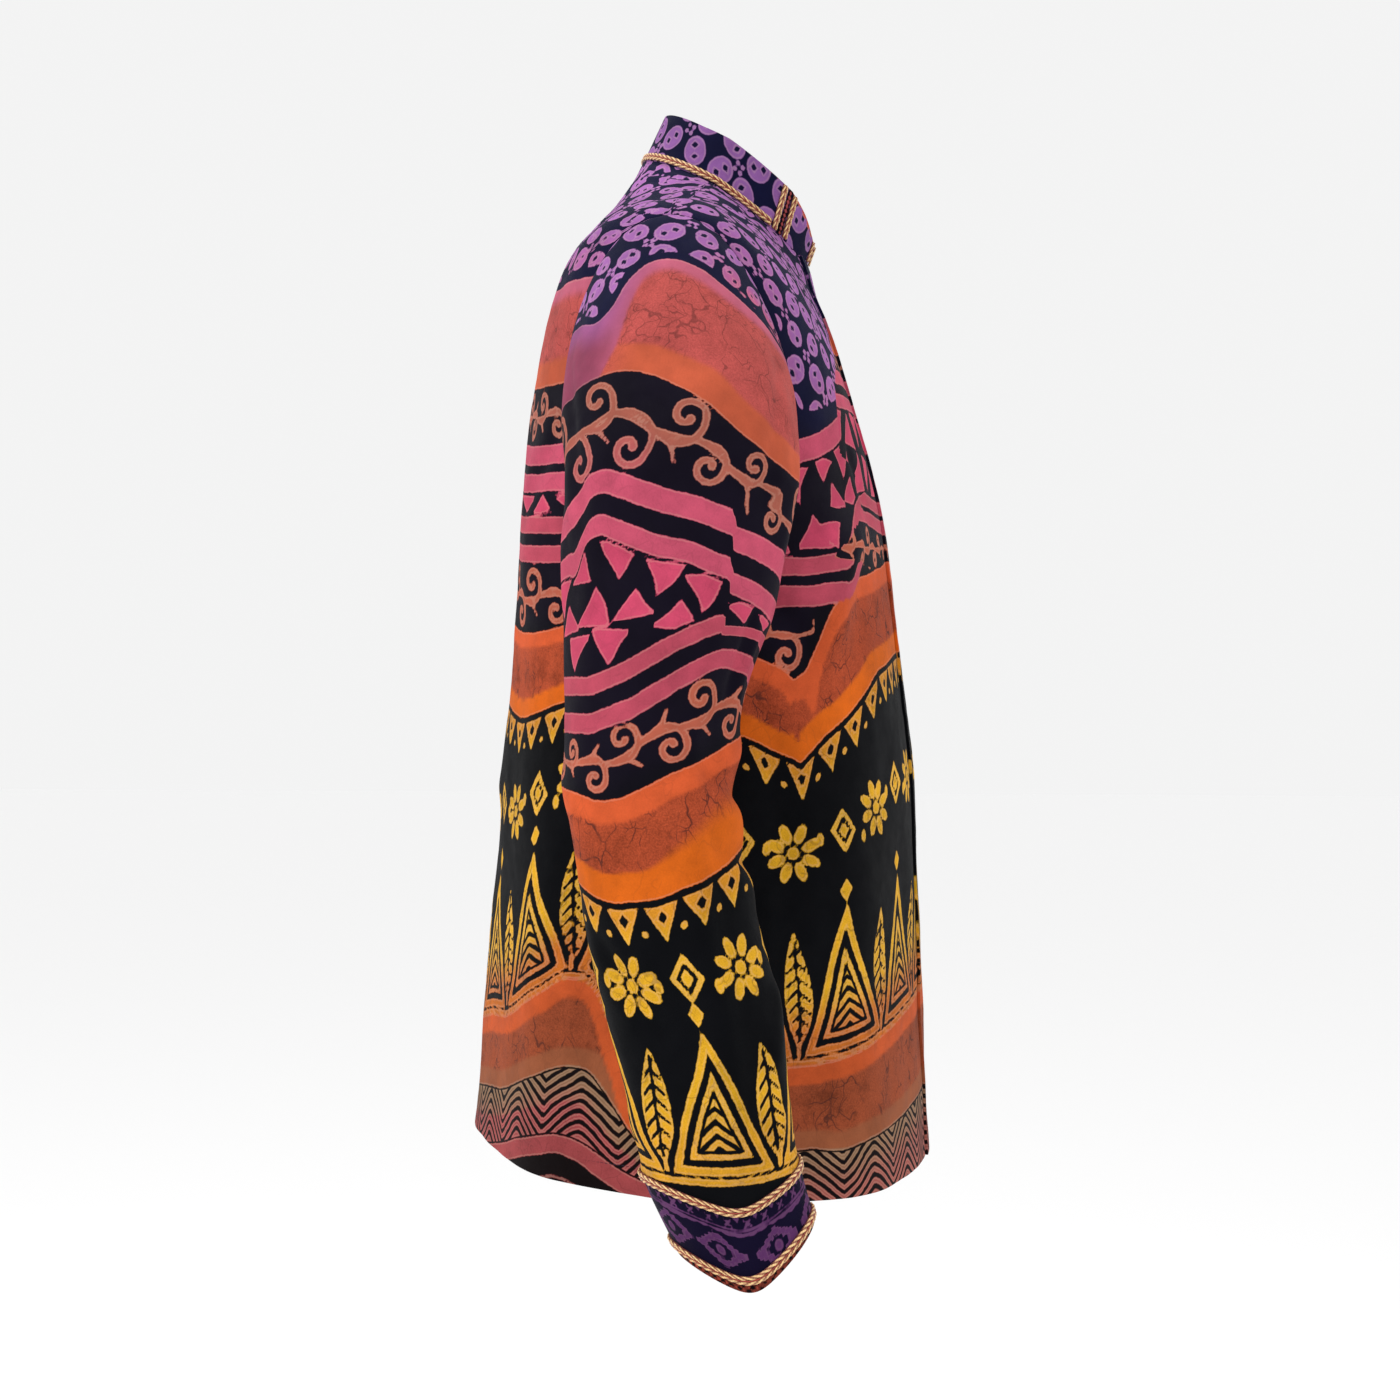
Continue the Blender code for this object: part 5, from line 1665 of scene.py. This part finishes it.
def paintCollar(angle, height):
    # ovals, and a thin piping at the top of the collar's front
    u, v = collarPlace(angle, height)
    paint = startPrint(u)
    ovals = kawungEdge(-u * np.sign(np.sin(np.radians(angle))), v + 9.0, 7.0)
    addInk(paint, ovals, inkOf("collarViolet"), 0.1)
    top = 1000 * collarRead("height", angle) - v
    away = np.abs(around(angle))
    piping = np.minimum(2.6 * smoothStep(44.0, 30.0, away) - top, 60.0 - away)
    addInk(paint, piping, inkOf("terracotta"), 0.1)
    return withLines(paint, u, v)


def paintStrip(angle, height):
    # a column of small lozenges
    u, v = collarPlace(angle, height)
    paint = startPrint(u, "earth")
    middle = u[:, u.shape[1] // 2][:, None]
    marks = lozengeEdge(u - middle, np.mod(v, 3.4) - 1.7, 1.5, 1.4)
    addInk(paint, marks, inkOf("hemBand"), 0.2)
    return withLines(paint, u, v)


# materials
def newMaterial(name):
    made = bpy.data.materials.new(name)
    made.use_nodes = True
    return made, made.node_tree, made.node_tree.nodes["Principled BSDF"]


def fillSocket(tree, socket, value):
    # a link where the value comes from a node, else a plain value
    if isinstance(value, bpy.types.NodeSocket):
        tree.links.new(value, socket)
    else:
        socket.default_value = value


def addNode(tree, kind, sockets=None, **settings):
    made = tree.nodes.new(kind)
    for field, value in settings.items():
        setattr(made, field, value)
    for label, value in (sockets or {}).items():
        fillSocket(tree, made.inputs[label], value)
    return made


def calculate(tree, operation, first, second=0.0, third=0.0):
    return addNode(tree, "ShaderNodeMath", {0: first, 1: second, 2: third}, operation=operation).outputs[0]


def moveBy(tree, operation, first, second):
    return addNode(tree, "ShaderNodeVectorMath", {0: first, 1: second}, operation=operation).outputs[0]


def ramp(tree, value, low, high, start=0.0, finish=1.0):
    # a smooth step of the value from low to high, stretched to run from start to finish
    sockets = {"Value": value, "From Min": low, "From Max": high, "To Min": start, "To Max": finish}
    return addNode(tree, "ShaderNodeMapRange", sockets, interpolation_type="SMOOTHSTEP").outputs["Result"]


def mixColours(tree, share, first, second, blend="MIX"):
    sockets = {0: share, 6: first, 7: second}
    return addNode(tree, "ShaderNodeMix", sockets, data_type="RGBA", blend_type=blend).outputs[2]


def toneColour(tree, colour, tone):
    # the colour times a grey as bright as the tone
    grey = addNode(tree, "ShaderNodeCombineColor", {0: tone, 1: tone, 2: tone}).outputs[0]
    return mixColours(tree, 1.0, colour, grey, "MULTIPLY")


def noiseOf(tree, place, scale, detail=2.0, rough=0.5, output="Fac"):
    sockets = {"Vector": place, "Scale": scale, "Detail": detail, "Roughness": rough}
    return addNode(tree, "ShaderNodeTexNoise", sockets).outputs[output]


def attributeOf(tree, label, output="Fac"):
    return addNode(tree, "ShaderNodeAttribute", attribute_name=label).outputs[output]


# lengths of the print in millimetres, lengths of the relief in metres; a row of cracks holds the scale of its
# cells, the width of a crack, the scale of its patches, and the noise where a patch starts and is full
batikLook = {
    "roughness": 0.74,
    "sheen": 0.02,
    "edgeWander": 1.3,
    "hatchShare": 0.27,
    "crackDark": 0.72,
    "cracks": ((46.0, 0.026, 26.0, 0.44, 0.56), (120.0, 0.050, 41.0, 0.52, 0.62)),
    "rim": 0.6,
    "weave": 0.00006,
    "threadPitch": 0.00075,
    "slub": 0.00022,
    "stitchSunk": 0.00025,
    "stitchProud": 0.00020,
    "stitchPitch": 3.0,
    "rimColour": (0.80, 0.56, 0.42, 1.0),
    "crackColour": (0.035, 0.014, 0.014, 1.0),
    "stitchColour": (0.030, 0.022, 0.040, 1.0),
}


def makeBatikMaterial(name, look):
    made, tree, shader = newMaterial(name)
    # the tools above, each with its tree already given
    tools = (addNode, calculate, moveBy, ramp, mixColours, toneColour, noiseOf, attributeOf)
    tools = (functools.partial(tool, tree) for tool in tools)
    node, maths, move, ramped, mix, toned, noise, attribute = tools
    place = node("ShaderNodeTexCoord").outputs["Object"]
    clothPlace = attribute("clothPlace", "Vector")
    fine = noise(place, 420.0, 2.0)
    broad = noise(place, 75.0, 3.0)
    cloud = noise(place, 16.0, 3.0, 0.6)
    grain = noise(place, 900.0, 3.0, 0.7)

    # waxed shapes have a slightly wandering edge
    wander = maths("MULTIPLY_ADD", maths("SUBTRACT", fine, 0.5), look["edgeWander"], 0.0)
    wander = maths("MULTIPLY_ADD", maths("SUBTRACT", broad, 0.5), 1.6, wander)
    edge = maths("ADD", attribute("inkEdge"), wander)
    phase = maths("MULTIPLY_ADD", maths("SUBTRACT", broad, 0.5), 0.5, attribute("hatch"))
    fromMiddle = maths("ABSOLUTE", maths("SUBTRACT", maths("FRACT", phase), 0.5))
    hatchEdge = maths("MULTIPLY", maths("SUBTRACT", look["hatchShare"], fromMiddle), hatchPitch)
    hatchEdge = maths("ADD", hatchEdge, maths("MULTIPLY", wander, 0.5))
    hatchEdge = maths("MINIMUM", hatchEdge, attribute("hatchZone"))
    edge = maths("MAXIMUM", edge, hatchEdge)
    ink = ramped(edge, -0.35, 0.35)

    # the dye is uneven, paler along the wax's edge, and darker in the cracks of the wax
    inkTone = ramped(cloud, 0.25, 0.75, 0.86, 1.14)
    inkTone = maths("MULTIPLY", inkTone, ramped(broad, 0.2, 0.8, 0.90, 1.10))
    crackle = attribute("crackle")
    strength = maths("MULTIPLY_ADD", crackle, 1.5, 0.15)
    speck = maths("MULTIPLY", maths("SUBTRACT", grain, 0.52), strength)
    inkTone = maths("ADD", inkTone, speck)
    blot = maths("MULTIPLY", ramped(noise(place, 34.0, 5.0, 0.75), 0.50, 0.66), crackle)
    inkTone = maths("MULTIPLY", inkTone, maths("MULTIPLY_ADD", blot, -0.34, 1.0))
    inkColour = toned(attribute("inkColour", "Color"), inkTone)
    rim = maths("MULTIPLY", ramped(edge, 0.1, 0.5), ramped(edge, 1.5, 0.8))
    pale = mix(0.22, inkColour, look["rimColour"])
    inkColour = mix(maths("MULTIPLY", rim, look["rim"]), inkColour, pale)
    bent = move("SUBTRACT", noise(place, 42.0, output="Color"), (0.5, 0.5, 0.5))
    bent = move("ADD", place, move("MULTIPLY", bent, (0.034, 0.034, 0.034)))
    bent = move("MULTIPLY", bent, (1.0, 1.0, 0.62))
    cracks = 0.0
    for scale, width, patches, low, high in look["cracks"]:
        cells = node("ShaderNodeTexVoronoi", {"Vector": bent, "Scale": scale}, feature="DISTANCE_TO_EDGE")
        line = ramped(cells.outputs["Distance"], width, width * 0.25)
        where = ramped(noise(place, patches, 2.0), low, high)
        cracks = maths("MAXIMUM", maths("MULTIPLY", line, where), cracks)
    cracks = maths("MULTIPLY", maths("MULTIPLY", cracks, crackle), look["crackDark"])
    inkColour = mix(cracks, inkColour, look["crackColour"])
    ground = toned(attribute("groundColour", "Color"), ramped(cloud, 0.3, 0.7, 0.82, 1.22))
    colour = mix(ink, ground, inkColour)

    # sewing: short stitches in a line, a little sunk
    away = attribute("stitchAway")
    dash = maths("FRACT", maths("DIVIDE", attribute("stitchAlong"), look["stitchPitch"]))
    dash = maths("LESS_THAN", maths("ABSOLUTE", maths("SUBTRACT", dash, 0.5)), 0.34)
    thread = maths("MULTIPLY", ramped(away, 0.50, 0.25), dash)
    sunk = ramped(away, 1.4, 0.3)
    colour = mix(maths("MULTIPLY", thread, 0.75), colour, look["stitchColour"])
    tree.links.new(colour, shader.inputs["Base Color"])

    # threads across and along the cloth, thicker here and there
    split = node("ShaderNodeSeparateXYZ", {0: clothPlace})
    weave = 0.0
    for axis in (0, 1):
        turn = maths("MULTIPLY", split.outputs[axis], 2 * math.pi / look["threadPitch"])
        weave = maths("MULTIPLY_ADD", maths("SINE", turn), 0.5, weave)
    height = maths("MULTIPLY", weave, look["weave"])
    height = maths("MULTIPLY_ADD", noise(place, 130.0, 3.0), look["slub"], height)
    height = maths("MULTIPLY_ADD", sunk, -look["stitchSunk"], height)
    height = maths("MULTIPLY_ADD", thread, look["stitchProud"], height)
    bump = node("ShaderNodeBump", {"Height": height, "Strength": 0.9, "Distance": 1.0})
    tree.links.new(bump.outputs["Normal"], shader.inputs["Normal"])
    rough = ramped(broad, 0.2, 0.8, look["roughness"] - 0.06, look["roughness"] + 0.08)
    tree.links.new(rough, shader.inputs["Roughness"])
    shader.inputs["Specular IOR Level"].default_value = 0.05
    shader.inputs["Sheen Weight"].default_value = look["sheen"]
    shader.inputs["Sheen Roughness"].default_value = 0.45
    return made


def makeBraidMaterial(name):
    # each thread's colour, with the painted shade of the cords' grooves, times a noisy tone, with fine noise
    # in the height
    made, tree, shader = newMaterial(name)
    place = addNode(tree, "ShaderNodeTexCoord").outputs["Object"]
    tone = ramp(tree, noiseOf(tree, place, 500.0, 2.0), 0.25, 0.75, 0.82, 1.12)
    colour = toneColour(tree, attributeOf(tree, "threadColourAndShade", "Color"), tone)
    tree.links.new(colour, shader.inputs["Base Color"])
    height = noiseOf(tree, place, 1600.0, 2.0)
    bump = addNode(tree, "ShaderNodeBump", {"Height": height, "Strength": 0.5, "Distance": 0.0003})
    tree.links.new(bump.outputs["Normal"], shader.inputs["Normal"])
    shader.inputs["Roughness"].default_value = 0.42
    shader.inputs["Specular IOR Level"].default_value = 0.55
    shader.inputs["Sheen Weight"].default_value = 0.10
    return made


cotton = makeBatikMaterial("batikCotton", batikLook)
collarCotton = makeBatikMaterial("collarCotton", dict(batikLook, edgeWander=0.8, hatchShare=0.2))
cuffCotton = makeBatikMaterial("cuffCotton", dict(batikLook, edgeWander=0.8, rim=0.12, roughness=0.70))
edgeCotton = makeBatikMaterial("edgeCotton", dict(batikLook, edgeWander=0.5, rim=0.0))
gold = makeBraidMaterial("goldBraid")
print("made the materials")

# the camera: level, at the height of the waist, on the wearer's right
view = {"place": (-1.442, -0.1516, -0.385), "ahead": (0.9945, 0.1045), "sensor": 36.0, "lens": 48.086}
camera = bpy.data.cameras.new("camera")
camera.sensor_width = view["sensor"]
camera.lens = view["lens"]
cameraObject = bpy.data.objects.new("camera", camera)
cameraObject.location = view["place"]
cameraObject.rotation_euler = (math.pi / 2, 0.0, math.atan2(view["ahead"][1], view["ahead"][0]) - math.pi / 2)
bpy.context.scene.collection.objects.link(cameraObject)
bpy.context.scene.camera = cameraObject


def addPiece(piece, node):
    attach(piece, "root")
    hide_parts(node)
    print("made", piece.name, "with", len(piece.data.polygons), "faces")


addPiece(makeFront("frontLeftCloth", 1, paintFrontLeft, cotton), "front_left")
addPiece(makeFront("frontRightCloth", -1, paintFrontRight, cotton), "front_right")
addPiece(makeBack("backCloth", paintBack, cotton), "back")
for sideName, side in (("Right", -1), ("Left", 1)):
    node = sideName.lower()
    made = makeSleeve("sleeve" + sideName + "Cloth", side, sleevePainter(side), cotton)
    addPiece(made, "sleeve_" + node)
    shares, rows = cuffShares["cloth"], cloth["cuffRows"]
    made = makeCuffBand("cuff" + sideName + "Cloth", side, shares, rows, paintCuff, cuffCotton)
    addPiece(made, "cuff_" + node)
    shares, rows = cuffShares["edge"], cloth["cuffEdgeRows"]
    made = makeCuffBand("cuffEdge" + sideName, side, shares, rows, paintCuffEdge, edgeCotton)
    addPiece(made, "cuff_edge_" + node)
    for label in ("Top", "Low"):
        made = makeCuffBraid("cuffBraid" + label + sideName, side, cuffShares[label.lower() + "Braid"], gold)
        addPiece(made, "cuff_braid_" + label.lower() + "_" + node)
    foot, width = collarSizes["uprightFoot"], collarSizes["uprightWidth"]
    for label, angle in zip(("Front", "Rear"), collarSizes["braidAngles"]):
        made = makeUprightBraid("collarBraid" + label + sideName, side * angle, foot, width, gold)
        addPiece(made, "collar_braid_" + label.lower() + "_" + node)
    made = makeCollarStrip("collarStrip" + sideName, side, paintStrip, edgeCotton)
    addPiece(made, "collar_strip_" + node)
    angle, width = side * collarSizes["endBraid"], collarSizes["endWidth"]
    made = makeUprightBraid("collarEndBraid" + sideName, angle, foot + cloth["lapLift"], width, gold)
    addPiece(made, "collar_end_braid_" + node)
addPiece(makeCollar("collarCloth", paintCollar, collarCotton), "collar")
addPiece(makeSeamBraid("collarSeamBraid", gold), "collar_seam_braid")

# a pale floor, a white surround and soft lights
studio = {
    "floorHeight": -1.45,
    "floorSize": 40.0,
    "surround": 0.90,
    "floorTone": 0.80,
    "lights": (
        ("key", (-1.5, 2.1, 1.5), 1.2, 33.0),
        ("fill", (-1.8, -2.2, 0.5), 2.2, 6.0),
        ("top", (0.2, -0.1, 2.2), 1.2, 18.0),
    ),
}
half, low = studio["floorSize"] / 2, studio["floorHeight"]
floorMesh = bpy.data.meshes.new("floor")
corners = [(-half, -half, low), (half, -half, low), (half, half, low), (-half, half, low)]
floorMesh.from_pydata(corners, [], [(0, 1, 2, 3)])
floor = bpy.data.objects.new("floor", floorMesh)
bpy.context.scene.collection.objects.link(floor)
floorFinish, _, floorShader = newMaterial("paleFloor")
floorShader.inputs["Base Color"].default_value = (studio["floorTone"],) * 3 + (1.0,)
floorShader.inputs["Emission Color"].default_value = (1.0, 1.0, 1.0, 1.0)
floorShader.inputs["Emission Strength"].default_value = studio["surround"] * (1 - studio["floorTone"])
floorShader.inputs["Roughness"].default_value = 0.9
floorShader.inputs["Specular IOR Level"].default_value = 0.1
floorMesh.materials.append(floorFinish)
for name, spot, size, power in studio["lights"]:
    light = bpy.data.lights.new(name, "AREA")
    light.size = size
    light.energy = power
    lamp = bpy.data.objects.new(name, light)
    lamp.location = spot
    toward = mathutils.Vector((0.0, 0.0, -0.35)) - mathutils.Vector(spot)
    lamp.rotation_euler = toward.to_track_quat("-Z", "Y").to_euler()
    bpy.context.scene.collection.objects.link(lamp)
world = bpy.data.worlds.new("studio")
bpy.context.scene.world = world
world.use_nodes = True
world.node_tree.nodes["Background"].inputs["Color"].default_value = (1.0, 1.0, 1.0, 1.0)
world.node_tree.nodes["Background"].inputs["Strength"].default_value = studio["surround"]
bpy.context.scene.view_settings.view_transform = "Standard"
